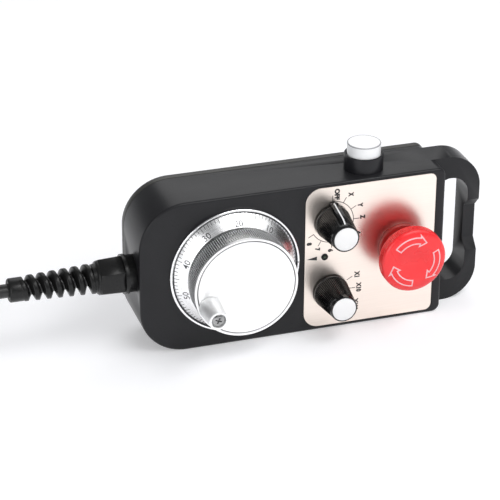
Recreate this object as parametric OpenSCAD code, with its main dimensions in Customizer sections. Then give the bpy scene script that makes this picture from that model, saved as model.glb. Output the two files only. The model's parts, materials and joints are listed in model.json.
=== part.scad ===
// Hand-held machine pendant: a manual pulse generator handwheel with two rotary
// selectors, an emergency stop, a push button, a loop handle and a cable.
// It stands on one long side. Built from the housing's corner, then centred:
// X runs from the cable end to the loop handle, the face looks along -Y, +Z is up.

/* [Housing] */
// Length of the housing without the loop handle
housing_length = 188; // [180:1:200]
// Height of the housing as it stands on its long side
housing_height = 96; // [94:1:100]
// Depth of the front housing, from the face to the seal
shell_depth = 34.5; // [34:0.5:40]
// Depth of the back cover
cover_depth = 5.5; // [5:0.5:7]
// Thickness of the seal between the two
seal_depth = 0.5; // [0.4:0.1:0.8]
// Wall thickness of the mouldings
wall = 2.8; // [2.4:0.1:3.2]
// Radius of the two corners at the cable end
cable_end_radius = 28; // [20:1:30]
// Radius of the two corners at the loop handle
loop_end_radius = 5; // [4:0.5:8]
// Radius of the rounded front and back edges
edge_radius = 1.5; // [1:0.1:2]

/* [Loop handle] */
// How far the loop handle reaches past the housing
loop_reach = 28; // [26:1:34]
// Distance from the face to the front of the loop
loop_front = 13; // [12:0.5:14]
// Thickness of the loop
loop_thickness = 18; // [16:0.5:19]
// Radius of the loop's outer corners
loop_radius = 21; // [16:1:24]
// Depth of the hook recess in the front of the loop's bar
hook_recess = 5.5; // [3:0.5:7]

/* [Handwheel] */
// Distance of the wheel's axis from the cable end
wheel_x = 57; // [56:1:58]
// Height of the wheel's axis
wheel_z = 49; // [47:1:50]
// Outer diameter of the fixed bezel
bezel_d = 80; // [78:1:82]
// Diameter of the knob
knob_d = 62.4; // [60:0.2:64]
// Height of the knob's face above the housing's face
knob_top = 23.7; // [22:0.1:26]
// Number of ribs round the knob
knob_ribs = 160; // [120:10:170]
// Distance of the crank from the wheel's axis
crank_offset = 24; // [23:0.5:24]
// Direction of the crank at rest, counted anticlockwise from the loop handle
crank_angle = 202; // [0:1:359]
// Length of the crank grip
crank_length = 17.6; // [15:0.2:22]

/* [Controls] */
// Distance of both selectors from the cable end
selector_x = 117; // [116:1:118]
// Heights of the multiplier and the axis selector
selector_z = [25, 71];
// Height of a selector knob's rim above the face
selector_top = 24; // [22:0.5:26]
// Angle of the axis selector at rest, clockwise from straight up
axis_angle = 0; // [0:30:240]
// Angle of the multiplier selector at rest, clockwise from straight up
multiplier_angle = 120; // [60:30:120]
// Position of the emergency stop on the face
stop_at = [161, 49];
// Diameter of the emergency stop's head
stop_d = 40; // [38:0.5:42]
// Number of ribs round the emergency stop's head
stop_ribs = 90; // [60:6:96]
// Travel of the emergency stop
stop_travel = 4.5; // [4:0.1:4.5]
// Position of the indicator lamp on the face
lamp_at = [112.8, 48.5];
// Position of the push button on the top side
button_at = [141.5, 15.5];
// Diameter of the push button's bezel
button_d = 23.4; // [22:0.2:25]
// Travel of the push button
button_travel = 3; // [2:0.5:3]

/* [Cable] */
// Position of the cable gland on the cable end, depth then height
gland_at = [15.5, 48];
// Diameter of the cable
cable_d = 8.2; // [8:0.1:8.2]
// Length of the spiral bend relief past the gland nut
relief_length = 52.5; // [50:0.5:60]
// Centre of the stored coil of cable on the surface
coil_at = [-170, 38];
// Diameter of the coil at the middle of its turns
coil_d = 90; // [86:1:98]

/* [Hidden] */
$fn = 72;

shell_back = shell_depth + seal_depth;
device_depth = shell_back + cover_depth;
loop_back = loop_front + loop_thickness;
loop_end = housing_length + loop_reach;
relief_end = 21.5 + relief_length;
crank_tip = knob_top + 0.3 + crank_length;
// the finished part's origin: middle of its length and depth, on the surface it stands on
centre_x = (loop_end - relief_end) / 2;
centre_y = (device_depth - crank_tip) / 2;

// inner cavity and bosses
cover_screws_at = [[14, 22], [14, 74], [92, 8], [92, 88], [181, 8], [181, 88]];
board_screws_at = [[100.5, 14], [100.5, 82], [129.5, 14], [129.5, 82]];
board_depth = 23;
slot = [193.3, 208.5, 13.5, 82];        // finger slot of the loop: left, right, bottom, top
recess_z = [32, 38, 60, 66];            // hook recess: heights where its slopes start and end
plate = [100.4, 182, 2.4, 93.7];        // face plate: left, right, bottom, top
plate_thick = 0.5;

// handwheel, heights counted out of the face
shaft_r = 3;
running_gap = 0.03;
press_gap = 0.02;                       // between pieces of one body that are pressed together
dial_r = 37.9;
dial_edge = 1.3;                        // height of the conical dial's outer edge
dial_crest = 7.5;                       // and of its inner edge, under the knob
skirt_r = 30.5;                         // plain skirt of the knob, between the dial and the ribs
skirt_top = 10.4;
bezel_top = 2.4;
drum_r = 30;
drum_depth = 22;
code_disc_at = -17;
click_wheel_at = -13.6;
stud_circle_r = 35;

// selectors and stop
switch_r = 12.5;
selector_base_r = 10.8;
selector_rim_r = 8.1;
cap_r = 7.25;
stop_barrel_r = 11;
stop_stem_r = 8.1;

// cable gland and coil
thread_r = 9.9;
gland_af = 21.3;
cable_r = cable_d / 2;
coil_floor = 1;                         // the ties lift the coil by their own thickness
coil_turn = 8.2;
coil_inner_r = coil_d / 2 - coil_turn;
coil_outer_r = coil_d / 2 + coil_turn;
coil_top = coil_floor + 3 * coil_turn;
plug_at = [-121, 82.3, 10];

// the cable's way from the bend relief down to the coil, and from the coil to its plug
lead_route = [[-74, 15.5, 48], [-78, 15.5, 48], [-82, 15.5, 47.8], [-86, 15.3, 47.1], [-91, 14.9, 45.6],
    [-97, 14, 42.9], [-103, 12.7, 39.8], [-110, 11, 36.1], [-118, 8.9, 32.6], [-126, 6.9, 30.7],
    [-134, 4.9, 29.9], [-142, 2.9, 29.6], [-150, 0.9, 28.8], [-160, -1.7, 27.6]];
tail_route = [[-170, 87.1, 21.5], [-164, 87.3, 21.5], [-157, 87.5, 21.3], [-150, 87.6, 20.3], [-143, 87.2, 18.2],
    [-136, 85.9, 15.1], [-130, 84.1, 12.2], [-125.5, 82.6, 10.4], [-123, 82.3, 10], [-121, 82.3, 10]];

// ---------- frames ----------
module in_part_frame() translate([-centre_x, -centre_y, 0]) children();
// a control on the face: local +Z points out of the face, local +Y up
module on_face(at) in_part_frame() translate([at[0], 0, at[1]]) rotate([90, 0, 0]) children();
// the push button: local +Z points up out of the top side
module on_top(at) in_part_frame() translate([at[0], at[1], housing_height]) children();
// the gland: local +Z points out of the cable end
module on_cable_end() in_part_frame() translate([0, gland_at[0], gland_at[1]]) rotate([0, -90, 0]) children();

// ---------- shapes that repeat ----------
module disc(from, to, r) translate([0, 0, from]) cylinder(h = to - from, r = r);
module ring(from, to, outer_r, inner_r) difference() {
    disc(from, to, outer_r);
    disc(from - 1, to + 1, inner_r);
}
// a hexagon of a given size across its flats
module hexagon(from, to, across_flats) translate([0, 0, from])
    cylinder(h = to - from, r = across_flats / sqrt(3), $fn = 6);
// a block centred on the local axis
module block(size, from, to) translate([-size[0] / 2, -size[1] / 2, from]) cube([size[0], size[1], to - from]);
// an outline with one corner radius on its left side and one on its right
module soft_rectangle(left, right, bottom, top, left_r, right_r) {
    translate([left, bottom + left_r]) square([left_r + 1, top - bottom - 2 * left_r]);
    translate([left + left_r, bottom]) square([right - left - left_r - right_r, top - bottom]);
    translate([right - right_r - 1, bottom + right_r]) square([right_r + 1, top - bottom - 2 * right_r]);
    for (z = [bottom + left_r, top - left_r]) translate([left + left_r, z]) circle(left_r);
    for (z = [bottom + right_r, top - right_r]) translate([right - right_r, z]) circle(right_r);
}
// a ring of teeth, one every 360 / count degrees
function teeth(count, tip_r, root_r) = [for (i = [0 : 2 * count - 1])
    let (a = 180 * i / count, r = i % 2 == 0 ? tip_r : root_r) [r * cos(a), r * sin(a)]];
// a compression spring as a swept round wire
module spring(from, to, mean_r, wire_r, turns) {
    sides = 6;
    steps = 16 * turns;
    function centre(i) = let (a = 360 * i / 16)
        [mean_r * cos(a), mean_r * sin(a), from + wire_r + (to - from - 2 * wire_r) * i / steps];
    points = [for (i = [0 : steps]) for (j = [0 : sides - 1])
        let (c = centre(i), a = 360 * i / 16, b = 360 * j / sides)
        [c[0] + wire_r * cos(b) * cos(a), c[1] + wire_r * cos(b) * sin(a), c[2] + wire_r * sin(b)]];
    sweep(points, steps, sides);
}
// closes rings of points into a tube; rings run so that its faces point outwards
module sweep(points, steps, sides) polyhedron(points = points, convexity = 10, faces = concat(
    [[for (j = [0 : sides - 1]) j]],
    [for (i = [0 : steps - 1]) for (j = [0 : sides - 1]) let (k = (j + 1) % sides)
        [i * sides + j, (i + 1) * sides + j, (i + 1) * sides + k, i * sides + k]],
    [[for (j = [sides - 1 : -1 : 0]) steps * sides + j]]));
// a round tube along a route of points
module tube(route, r, sides = 8) {
    last = len(route) - 1;
    function unit(v) = v / norm(v);
    function heading(i) = unit(route[min(i + 1, last)] - route[max(i - 1, 0)]);
    points = [for (i = [0 : last]) let (t = heading(i), side = unit(cross(t, [0, 0.2, 1])), up = cross(side, t))
        for (j = [0 : sides - 1]) let (b = -360 * j / sides) route[i] + r * (cos(b) * side + sin(b) * up)];
    sweep(points, last, sides);
}

// ---------- housing ----------
module housing_outline(inset = 0) soft_rectangle(inset, housing_length - inset, inset,
    housing_height - inset, cable_end_radius - inset, loop_end_radius - inset);
// a slab of the housing's outline with one rounded edge, at local Z = 0, growing towards +Z
module rounded_slab(depth) hull() {
    for (a = [0, 30, 60]) translate([0, 0, edge_radius * (1 - cos(a))])
        linear_extrude(0.01) housing_outline(edge_radius * (1 - sin(a)));
    translate([0, 0, edge_radius]) linear_extrude(depth - edge_radius) housing_outline();
}
module loop_outline() difference() {
    soft_rectangle(housing_length - 12, loop_end, 0, housing_height, loop_end_radius, loop_radius);
    soft_rectangle(slot[0], slot[1], slot[2], slot[3], 3, 11);
}
module hook_recess_cut() translate([slot[1] - 2, 0, 0]) rotate([90, 0, 90]) linear_extrude(20) polygon([
    [loop_front - 1, recess_z[0] - 6 / hook_recess], [loop_front, recess_z[0]],
    [loop_front + hook_recess, recess_z[1]], [loop_front + hook_recess, recess_z[2]],
    [loop_front, recess_z[3]], [loop_front - 1, recess_z[3] + 6 / hook_recess]]);
module front_housing() color("#333336") difference() {
    union() {
        difference() {
            union() {
                on_face([0, 0]) mirror([0, 0, 1]) rounded_slab(shell_depth);
                in_part_frame() difference() {
                    translate([0, loop_back, 0]) rotate([90, 0, 0]) linear_extrude(loop_thickness) loop_outline();
                    hook_recess_cut();
                }
            }
            on_face([0, 0]) translate([0, 0, -shell_depth - 1])
                linear_extrude(shell_depth + 1 - wall) housing_outline(wall);
        }
        for (at = cover_screws_at) on_face(at) disc(-shell_depth, -wall + 0.5, 3.8);
        for (at = board_screws_at) on_face(at) disc(-board_depth, -wall + 0.5, 2.6);
    }
    for (at = cover_screws_at) on_face(at) disc(-shell_depth - 1, -20, 1.47);
    for (at = board_screws_at) on_face(at) disc(-board_depth - 1, -board_depth + 8, 1.02);
    on_face([wheel_x, wheel_z]) {
        disc(-wall - 1, 1, drum_r + 0.5);
        for (a = [30, 150, 270]) rotate(a) translate([stud_circle_r, 0, 0]) disc(-wall - 1, 1, 1.7);
    }
    for (z = selector_z) on_face([selector_x, z]) disc(-wall - 1, 1, 4.8);
    on_face(stop_at) disc(-wall - 1, 1, stop_barrel_r + 0.15);
    on_face(lamp_at) disc(-wall - 1, 1, 1.9);
    on_face([0, 0]) translate([0, 0, -plate_thick]) linear_extrude(2) plate_outline(0.4);
    on_top(button_at) disc(-wall - 1, 1, 8.1);
    on_cable_end() disc(-wall - 1, 1, thread_r + 0.15);
}
module back_cover() color("#2e2e31") difference() {
    union() {
        difference() {
            on_face([0, 0]) translate([0, 0, -device_depth]) rounded_slab(cover_depth);
            on_face([0, 0]) translate([0, 0, -device_depth + wall]) linear_extrude(cover_depth) housing_outline(wall);
        }
        // lip that drops into the front housing
        on_face([0, 0]) translate([0, 0, -device_depth + 2]) linear_extrude(cover_depth + seal_depth) difference() {
            housing_outline(wall + 0.3);
            housing_outline(wall + 1.7);
            for (at = cover_screws_at) translate(at) circle(5);
        }
        for (at = cover_screws_at) on_face(at) disc(-device_depth + 1, -shell_back, 4.3);
    }
    for (at = cover_screws_at) on_face(at) {
        disc(-device_depth - 1, -shell_back + 1, 1.7);
        disc(-device_depth - 1, -device_depth + 2.4, 3.3);
    }
}
module housing_seal() color("#141414") on_face([0, 0]) translate([0, 0, -shell_back])
    linear_extrude(seal_depth) difference() {
        housing_outline(0.6);
        housing_outline(wall - 0.2);
    }
module cover_screws() color("#8c8c8f") for (at = cover_screws_at) on_face(at) {
    disc(-device_depth + 0.5, -device_depth + 2.4, 2.9);
    disc(-device_depth + 2, -22, 1.45);
}
module plate_outline(gap = 0) soft_rectangle(plate[0] - gap, plate[1] + gap, plate[2] - gap, plate[3] + gap,
    9.5 + gap, 4 + gap);
module face_plate() color("#d9d2ca") on_face([0, 0]) translate([0, 0, -plate_thick])
    linear_extrude(plate_thick) difference() {
    plate_outline();
    for (z = selector_z) translate([selector_x, z]) circle(5.2);
    translate(stop_at) circle(stop_barrel_r + 0.3);
    translate(lamp_at) circle(1.95);
}

// ---------- handwheel ----------
module on_wheel() on_face([wheel_x, wheel_z]) children();
module pulser_case() color("#c9cacc") on_wheel() difference() {
    rotate_extrude() polygon([[6, 0.6], [dial_r + 0.3, 0.6], [dial_r + 0.3, bezel_top],
        [bezel_d / 2 - 0.4, bezel_top], [bezel_d / 2, bezel_top - 0.4], [bezel_d / 2, 1.4],
        [bezel_d / 2 - 0.6, 0], [drum_r, 0], [drum_r, -drum_depth], [drum_r - 2.2, -drum_depth],
        [drum_r - 2.2, -2.5], [9, -2.5], [9, -10], [6, -10], [6, -6], [5.2, -6], [5.2, -3.6], [6, -3.6]]);
    // index notch, towards the loop handle
    translate([bezel_d / 2 - 1.6, -0.35, bezel_top - 0.4]) cube([3, 0.7, 2]);
}
module pulser_studs() color("#9a9a9c") on_wheel() for (a = [30, 150, 270])
    rotate(a) translate([stud_circle_r, 0, 0]) disc(-8, 0, 1.5);
module pulser_nuts() color("#9a9a9c") on_wheel() for (a = [30, 150, 270])
    rotate(a) translate([stud_circle_r, 0, 0]) difference() {
        hexagon(-wall - 2.4, -wall, 5.5);
        disc(-wall - 4, 0, 1.52);
    }
module shaft_bearings() color("#b5b8bc") on_wheel() {
    ring(-3.55, 0.5, 5.97, shaft_r + running_gap);
    ring(-10, -6.05, 5.97, shaft_r + running_gap);
}
// rests beside the teeth; its roller snaps between them
module click_spring() color("#b9bcc0") on_wheel() rotate(90) {
    translate([25.8, 0, click_wheel_at]) cylinder(h = 1.8, r = 1.5);
    translate([26.6, -5, click_wheel_at]) cube([0.5, 10, 1.8]);
    for (side = [-1, 1]) translate([26.4, side * 5 - 0.6, click_wheel_at - 5.4]) cube([0.6, 1.2, 7.2]);
}
module sensor_board() color("#1d5b34") on_wheel() {
    difference() {
        disc(-20.6, -19, drum_r - 2.4);
        disc(-22, -18, 8);
    }
    difference() {
        translate([16, -4, -19]) cube([8.5, 8, 4.2]);
        translate([10, -5, code_disc_at - 0.7]) cube([13, 10, 1.9]);
    }
}
module pulser_cap() color("#c9cacc") on_wheel() disc(-drum_depth - 2, -drum_depth, drum_r);
module pulser_terminals() color("#20242a") on_wheel() difference() {
    block([38, 11], -drum_depth - 11, -drum_depth - 2);
    for (i = [-2.5 : 2.5]) translate([6 * i, 0, 0]) disc(-drum_depth - 12, -drum_depth - 8, 2);
}
module pulser_shaft() color("#c4c6ca") on_wheel() disc(-18, 19.4, shaft_r);
module shaft_circlip() color("#6f7276") on_wheel() ring(-10.9, -10.2, 4.6, shaft_r + press_gap);
module click_wheel() color("#cfae6a") on_wheel() difference() {
    union() {
        translate([0, 0, click_wheel_at]) linear_extrude(1.8) polygon(teeth(100, 24, 23.2));
        disc(click_wheel_at - 1.6, click_wheel_at + 2.2, 6);
    }
    disc(-20, 0, shaft_r + press_gap);
}
module code_disc() color("#8f9296") on_wheel() difference() {
    disc(code_disc_at, code_disc_at + 0.5, 22);
    disc(-20, 0, shaft_r + press_gap);
    for (i = [0 : 49]) rotate(7.2 * i) translate([18.5, -0.6, code_disc_at - 1]) cube([2.6, 1.2, 3]);
}
// conical dial, thin at its outer edge, with the knob standing on its inner edge
module dial_disc() color("#dcdddf") on_wheel() rotate_extrude() polygon([[7.1, 0.9], [dial_r, 0.9],
    [dial_r, dial_edge], [skirt_r + 0.1, dial_crest], [27.6, dial_crest], [27.6, 2.4], [7.1, 2.4]]);
// turned cup with a hub; the band of ribs lies between its plain skirt and its rim
module handwheel_knob() color("#e3e4e6") on_wheel() difference() {
    union() {
        rotate_extrude() polygon([[0, 1], [6.9, 1], [6.9, knob_top - 4], [28.2, knob_top - 4],
            [28.2, dial_crest], [skirt_r, dial_crest], [skirt_r, skirt_top], [30.2, skirt_top],
            [30.2, knob_top - 1.8], [knob_d / 2, knob_top - 1.8], [knob_d / 2, knob_top - 0.5],
            [knob_d / 2 - 0.5, knob_top], [0, knob_top]]);
        translate([0, 0, skirt_top]) linear_extrude(knob_top - 1.8 - skirt_top) difference() {
            polygon(teeth(knob_ribs, knob_d / 2 - 0.2, knob_d / 2 - 0.65));
            circle(29.4);
        }
        rotate(crank_angle) translate([crank_offset, 0, 0]) disc(knob_top - 12, knob_top - 2, 4.6);
    }
    // spun groove inside the rim of the face
    ring(knob_top - 0.3, knob_top + 1, knob_d / 2 - 1.6, knob_d / 2 - 2);
    disc(0, knob_top - 4.2, shaft_r + press_gap);
    rotate(crank_angle) translate([crank_offset, 0, 0]) disc(knob_top - 11, knob_top + 1, 2 + press_gap);
    // way in for the set screw
    rotate(-60) translate([0, 0, 14]) rotate([0, 90, 0]) cylinder(h = knob_d, r = 1.55);
}
module wheel_set_screw() color("#3a3a3d") on_wheel() rotate(-60) translate([shaft_r + 0.1, 0, 14])
    rotate([0, 90, 0]) cylinder(h = 3.6, r = 1.5);
module at_crank() on_wheel() rotate(crank_angle) translate([crank_offset, 0, 0]) children();
module crank_spindle() color("#a9abae") at_crank() {
    disc(knob_top - 10.5, crank_tip - 2.4, 2);
    difference() {
        rotate_extrude() polygon([[0, crank_tip - 2.9], [3.9, crank_tip - 2.9], [3.9, crank_tip - 1.4],
            [2.6, crank_tip - 0.7], [0, crank_tip - 0.5]]);
        for (a = [45, 135]) rotate(a) translate([-2, -0.4, crank_tip - 2]) cube([4, 0.8, 3]);
    }
}
module crank_grip() color("#e8e9eb") at_crank() difference() {
    rotate_extrude() polygon([[0, knob_top + 0.3], [6.5, knob_top + 0.3], [6.8, knob_top + 0.8],
        [6.75, knob_top + 2], [5.75, crank_tip - 1], [5.1, crank_tip], [0, crank_tip]]);
    disc(knob_top, crank_tip + 1, 2 + 0.05);
    disc(crank_tip - 3, crank_tip + 1, 4.25);
}

// ---------- rotary selectors ----------
module rotary_switch(at) color("#26282c") on_face(at) difference() {
    union() {
        disc(-3 - wall - 8, -wall, switch_r);
        disc(-wall - 1, 6.5, 4.6);
        for (i = [0 : 9]) rotate(36 * i) translate([10.4, 0, 0]) disc(-19, -13, 0.6);
    }
    disc(-12.8, 8, shaft_r + running_gap);
}
module switch_shaft(at) color("#b9bbbe") on_face(at) disc(-12.5, 19, shaft_r);
module selector_knob(at, angle) color("#1b1b1d") on_face(at) rotate(-angle) difference() {
    union() {
        // ribbed barrel, tapering to a plain rim
        translate([0, 0, 1.4]) linear_extrude(selector_top - 4.4, scale = (selector_rim_r + 0.25) / selector_base_r)
            polygon(teeth(44, selector_base_r, selector_base_r - 0.5));
        rotate_extrude() polygon([[0, 1.2], [selector_base_r, 1.2], [selector_base_r + 0.15, 1.7],
            [selector_base_r, 2.6], [selector_rim_r - 1, 2.6], [selector_rim_r - 1, selector_top - 5],
            [selector_rim_r + 0.45, selector_top - 3.6], [selector_rim_r, selector_top - 0.4],
            [selector_rim_r - 0.3, selector_top], [0, selector_top]]);
        // pointer rib
        translate([-2.2, 0, 0]) rotate([90, 0, 90]) linear_extrude(4.4) polygon([[5, 1.2], [13, 1.2],
            [13.2, 1.7], [13.1, 3], [10.2, selector_top - 5.5], [selector_rim_r + 0.2, selector_top - 2.4],
            [5, selector_top - 2.4]]);
    }
    disc(0, 4.4, 8.7);
    disc(0, 7, 5);
    disc(0, 19.2, shaft_r + press_gap);
    disc(selector_top - 1, selector_top + 1, cap_r + press_gap);
    // hole for the set screw, a quarter turn from the pointer
    translate([0, 0, 9]) rotate([0, 90, 0]) cylinder(h = 14, r = 1.55);
}
module knob_set_screw(at, angle) color("#55585c") on_face(at) rotate(-angle)
    translate([shaft_r + 0.1, 0, 9]) rotate([0, 90, 0]) cylinder(h = 4.4, r = 1.5);
module selector_cap(at) color("#f4f4f4") on_face(at) rotate_extrude() polygon([[0, selector_top - 1],
    [cap_r, selector_top - 1], [cap_r, selector_top - 0.1], [cap_r - 0.5, selector_top + 0.2],
    [0, selector_top + 0.35]]);
multiplier_at = [selector_x, selector_z[0]];
axis_at = [selector_x, selector_z[1]];
module axis_switch() rotary_switch(axis_at);
module axis_shaft() switch_shaft(axis_at);
module axis_knob() selector_knob(axis_at, axis_angle);
module axis_cap() selector_cap(axis_at);
module knob_set_screw_axis() knob_set_screw(axis_at, axis_angle);
module multiplier_switch() rotary_switch(multiplier_at);
module multiplier_shaft() switch_shaft(multiplier_at);
module multiplier_knob() selector_knob(multiplier_at, multiplier_angle);
module multiplier_cap() selector_cap(multiplier_at);
module knob_set_screw_multiplier() knob_set_screw(multiplier_at, multiplier_angle);
module switch_nuts() color("#b5b8bc") for (at = [axis_at, multiplier_at]) on_face(at) difference() {
    hexagon(0, 2.2, 14);
    disc(0, 4, 4.65);
}

// ---------- emergency stop ----------
module stop_collar() color("#2a2a2c") on_face(stop_at) difference() {
    union() {
        disc(0, 3, 14.5);
        disc(2, 7.6, 12);
        disc(-14, 1, stop_barrel_r);
    }
    disc(-15, 9, stop_stem_r + 0.25);
}
module stop_nut() color("#3a3b3e") on_face(stop_at) difference() {
    hexagon(-wall - 4.5, -wall, 28);
    disc(-9, 0, stop_barrel_r + 0.05);
}
module stop_contacts() color("#2f4f3a") on_face(stop_at) difference() {
    block([30, 24], -33.5, -14);
    disc(-22, -13, 9);
    disc(-27, -13, 4.2);
}
module stop_spring() color("#a9acb0") on_face(stop_at) spring(-22, -16.9, 6.4, 0.55, 4);
module stop_plunger() color("#9c1f22") on_face(stop_at) {
    disc(-12, 17.6, stop_stem_r);
    disc(-18, -11, 3.5);
}
// mushroom head with a dished front; the band of fine ribs lies under its rim
module stop_head() color("#e02028") on_face(stop_at) difference() {
    union() {
        rotate_extrude() polygon([[0, 13], [stop_stem_r, 13], [12.4, 13], [12.4, 8.3], [14.2, 8.3], [14.2, 12.4],
            [stop_d / 2 - 0.9, 13.9], [stop_d / 2 - 0.4, 14.5], [stop_d / 2 - 0.4, 20.2], [stop_d / 2 - 0.1, 20.5],
            [stop_d / 2 - 0.15, 20.9], [stop_d / 2 - 0.5, 21.4], [stop_d / 2 - 1.5, 22], [17, 22.6], [15.5, 22.9],
            [13.7, 23.15], [12, 23.2], [10, 23.1], [8, 22.8], [5, 22.35], [2.5, 22.1], [0, 22]]);
        translate([0, 0, 14.7]) linear_extrude(5.3) difference() {
            polygon(teeth(stop_ribs, stop_d / 2, stop_d / 2 - 0.35));
            circle(17.5);
        }
    }
    disc(12, 17.9, stop_stem_r + 0.05);
}

// ---------- push button ----------
module button_bezel() color("#1c1c1e") on_top(button_at) rotate_extrude() polygon([[5.8, -14], [7.9, -14],
    [7.9, 0], [button_d / 2, 0], [button_d / 2, 9.3], [button_d / 2 - 0.4, 9.7], [10.6, 9.7],
    [10.35, 9.4], [10.35, 1], [5.8, 1]]);
module button_nut() color("#9a9a9c") on_top(button_at) difference() {
    hexagon(-wall - 3.5, -wall, 20);
    disc(-8, 0, 7.95);
}
module button_contacts() color("#26282c") on_top(button_at) difference() {
    block([17, 17], -30, -14);
    disc(-18, -13, 5.9);
}
module button_spring() color("#a9acb0") on_top(button_at) spring(1, 6, 7.4, 0.4, 2);
module button_plunger() color("#e6e6e6") on_top(button_at) {
    disc(6, 7, 8.6);
    disc(-12, 6.5, 5.6);
}
module button_diffuser() color("#f7f7f7") on_top(button_at) ring(7, 12.2, 8.4, 7.2);
module button_lens() color("#f2f4f6", 0.6) on_top(button_at) difference() {
    rotate_extrude() polygon([[0, 7], [10.05, 7], [10.05, 13.6], [9.6, 14.1], [0, 14.1]]);
    disc(6, 12.4, 8.6);
}

// ---------- lamp ----------
module lamp_holder() color("#101012") on_face(lamp_at) difference() {
    union() {
        disc(-6, 0.3, 1.8);
        disc(0, 0.5, 2.1);
    }
    disc(-7, 2, 1.3);
}
module lamp_lens() color("#3b4a3d") on_face(lamp_at) {
    disc(-6, 0, 1.25);
    translate([0, 0, 0]) sphere(r = 1.25);
}

// ---------- inner board ----------
module junction_board() color("#1d5b34") on_face([0, 0]) difference() {
    union() {
        translate([98, 11, -board_depth - 1.6]) cube([34, 74, 1.6]);
        for (z = [20, 66]) translate([102, z, -board_depth - 8.6]) cube([26, 10, 7.2]);
    }
    for (at = board_screws_at) translate(at) disc(-40, 0, 1.2);
}
module board_screws() color("#9a9a9c") for (at = board_screws_at) on_face(at) {
    disc(-board_depth - 3.4, -board_depth - 1.6, 2);
    disc(-board_depth - 2, -board_depth + 7, 1);
}

// ---------- cable gland ----------
module gland_body() color("#1a1a1c") on_cable_end() difference() {
    union() {
        disc(-9, 1, thread_r);
        disc(0, 4.4, 11.1);
        disc(4.4, 6.8, 11.9);
        disc(6, 17, 7.6);
    }
    disc(-10, 18, cable_r + 0.15);
    disc(7.8, 18, 6.2);
    for (i = [0 : 2]) rotate(60 * i) translate([-9, -0.5, 9]) cube([18, 1, 9]);
}
module gland_seal() color("#0e0e0e") on_cable_end() ring(8, 16, 6.15, cable_r + 0.15);
module gland_lock_nut() color("#1a1a1c") on_cable_end() difference() {
    hexagon(-wall - 4, -wall, 24);
    disc(-8, 0, thread_r + 0.05);
}
// tapered hexagon nut, spiral of wedge-shaped turns and end collar, in one moulding
module spiral_gland_nut() color("#161618") on_cable_end() {
    difference() {
        union() {
            translate([0, 0, 7]) linear_extrude(14, scale = 0.95) circle(r = gland_af / sqrt(3), $fn = 6);
            disc(20.9, 22.4, 9.9);
            disc(22, 25, 8.4);
        }
        disc(6, 18.5, 7.8);
        disc(6, 26, cable_r + 0.15);
    }
    relief_spiral(23, relief_end - 7.5);
    difference() {
        rotate_extrude() polygon([[0, relief_end - 8.8], [6.6, relief_end - 8.8], [7.1, relief_end - 8.2],
            [7.1, relief_end - 0.9], [6.4, relief_end], [0, relief_end]]);
        disc(relief_end - 10, relief_end + 1, cable_r + 0.15);
    }
}
module relief_spiral(from, to) {
    pitch = 6.6;
    turn_steps = 20;
    steps = round(turn_steps * (to - from) / pitch);
    root_r = cable_r + 0.35;
    profile = [[0, 2.9], [0.88, 1.35], [1, 0.95], [1, -0.95], [0.88, -1.35], [0, -2.9]];
    function tip_r(z) = 9.1 - 1.7 * (z - from) / (to - from);
    points = [for (i = [0 : steps]) let (a = 360 * i / turn_steps + 125, z = from + (to - from) * i / steps)
        for (p = profile) let (r = root_r + (tip_r(z) - root_r) * p[0]) [r * cos(a), r * sin(a), z + p[1]]];
    sweep(points, steps, len(profile));
}
module cable_end() color("#111113") on_cable_end() disc(-15, relief_end, cable_r);

// ---------- cable outside the part, and what is on it ----------
module cord_lead() color("#111113") in_part_frame() tube(lead_route, cable_r);
module cord_tail() color("#111113") in_part_frame() tube(tail_route, cable_r);
module cord_coil() color("#111113") in_part_frame() translate([coil_at[0], coil_at[1], 0]) rotate_extrude()
    translate([coil_inner_r, coil_floor]) square([coil_outer_r - coil_inner_r, coil_top - coil_floor]);
module cord_tie() color("#18181a") in_part_frame() for (a = [15, 195])
    translate([coil_at[0], coil_at[1], 0]) rotate(a) translate([0, 6, 0]) rotate([90, 0, 0]) linear_extrude(12)
        difference() {
            translate([coil_inner_r - 1.9, 0]) square([coil_outer_r - coil_inner_r + 3.3, coil_top + 1]);
            translate([coil_inner_r - 0.9, coil_floor]) square([coil_outer_r - coil_inner_r + 1.3, coil_top - coil_floor]);
        }
module cord_plug() color("#b9bcc0") in_part_frame() translate(plug_at) rotate([0, 90, 0]) difference() {
    union() {
        rotate_extrude() polygon([[0, 0], [6, 0], [7.6, 3], [8, 14], [8.6, 15], [8.6, 40], [0, 40]]);
        translate([0, 0, 27]) linear_extrude(15) polygon(teeth(36, 10, 9.5));
    }
    ring(30, 45, 8.4, 7.4);
}

front_housing();
back_cover();
housing_seal();
cover_screws();
face_plate();
pulser_case();
pulser_studs();
pulser_nuts();
shaft_bearings();
click_spring();
sensor_board();
pulser_cap();
pulser_terminals();
pulser_shaft();
shaft_circlip();
click_wheel();
code_disc();
dial_disc();
handwheel_knob();
wheel_set_screw();
crank_spindle();
crank_grip();
axis_switch();
axis_shaft();
axis_knob();
axis_cap();
multiplier_switch();
multiplier_shaft();
multiplier_knob();
multiplier_cap();
switch_nuts();
knob_set_screw_axis();
knob_set_screw_multiplier();
stop_collar();
stop_nut();
stop_contacts();
stop_spring();
stop_plunger();
stop_head();
button_bezel();
button_nut();
button_contacts();
button_spring();
button_plunger();
button_diffuser();
button_lens();
lamp_holder();
lamp_lens();
junction_board();
board_screws();
gland_body();
gland_seal();
gland_lock_nut();
spiral_gland_nut();
cable_end();
cord_lead();
cord_coil();
cord_tail();
cord_tie();
cord_plug();
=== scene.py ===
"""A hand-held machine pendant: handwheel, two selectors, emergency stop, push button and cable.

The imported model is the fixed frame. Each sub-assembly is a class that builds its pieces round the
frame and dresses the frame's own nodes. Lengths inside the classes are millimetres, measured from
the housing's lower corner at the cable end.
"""

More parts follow.
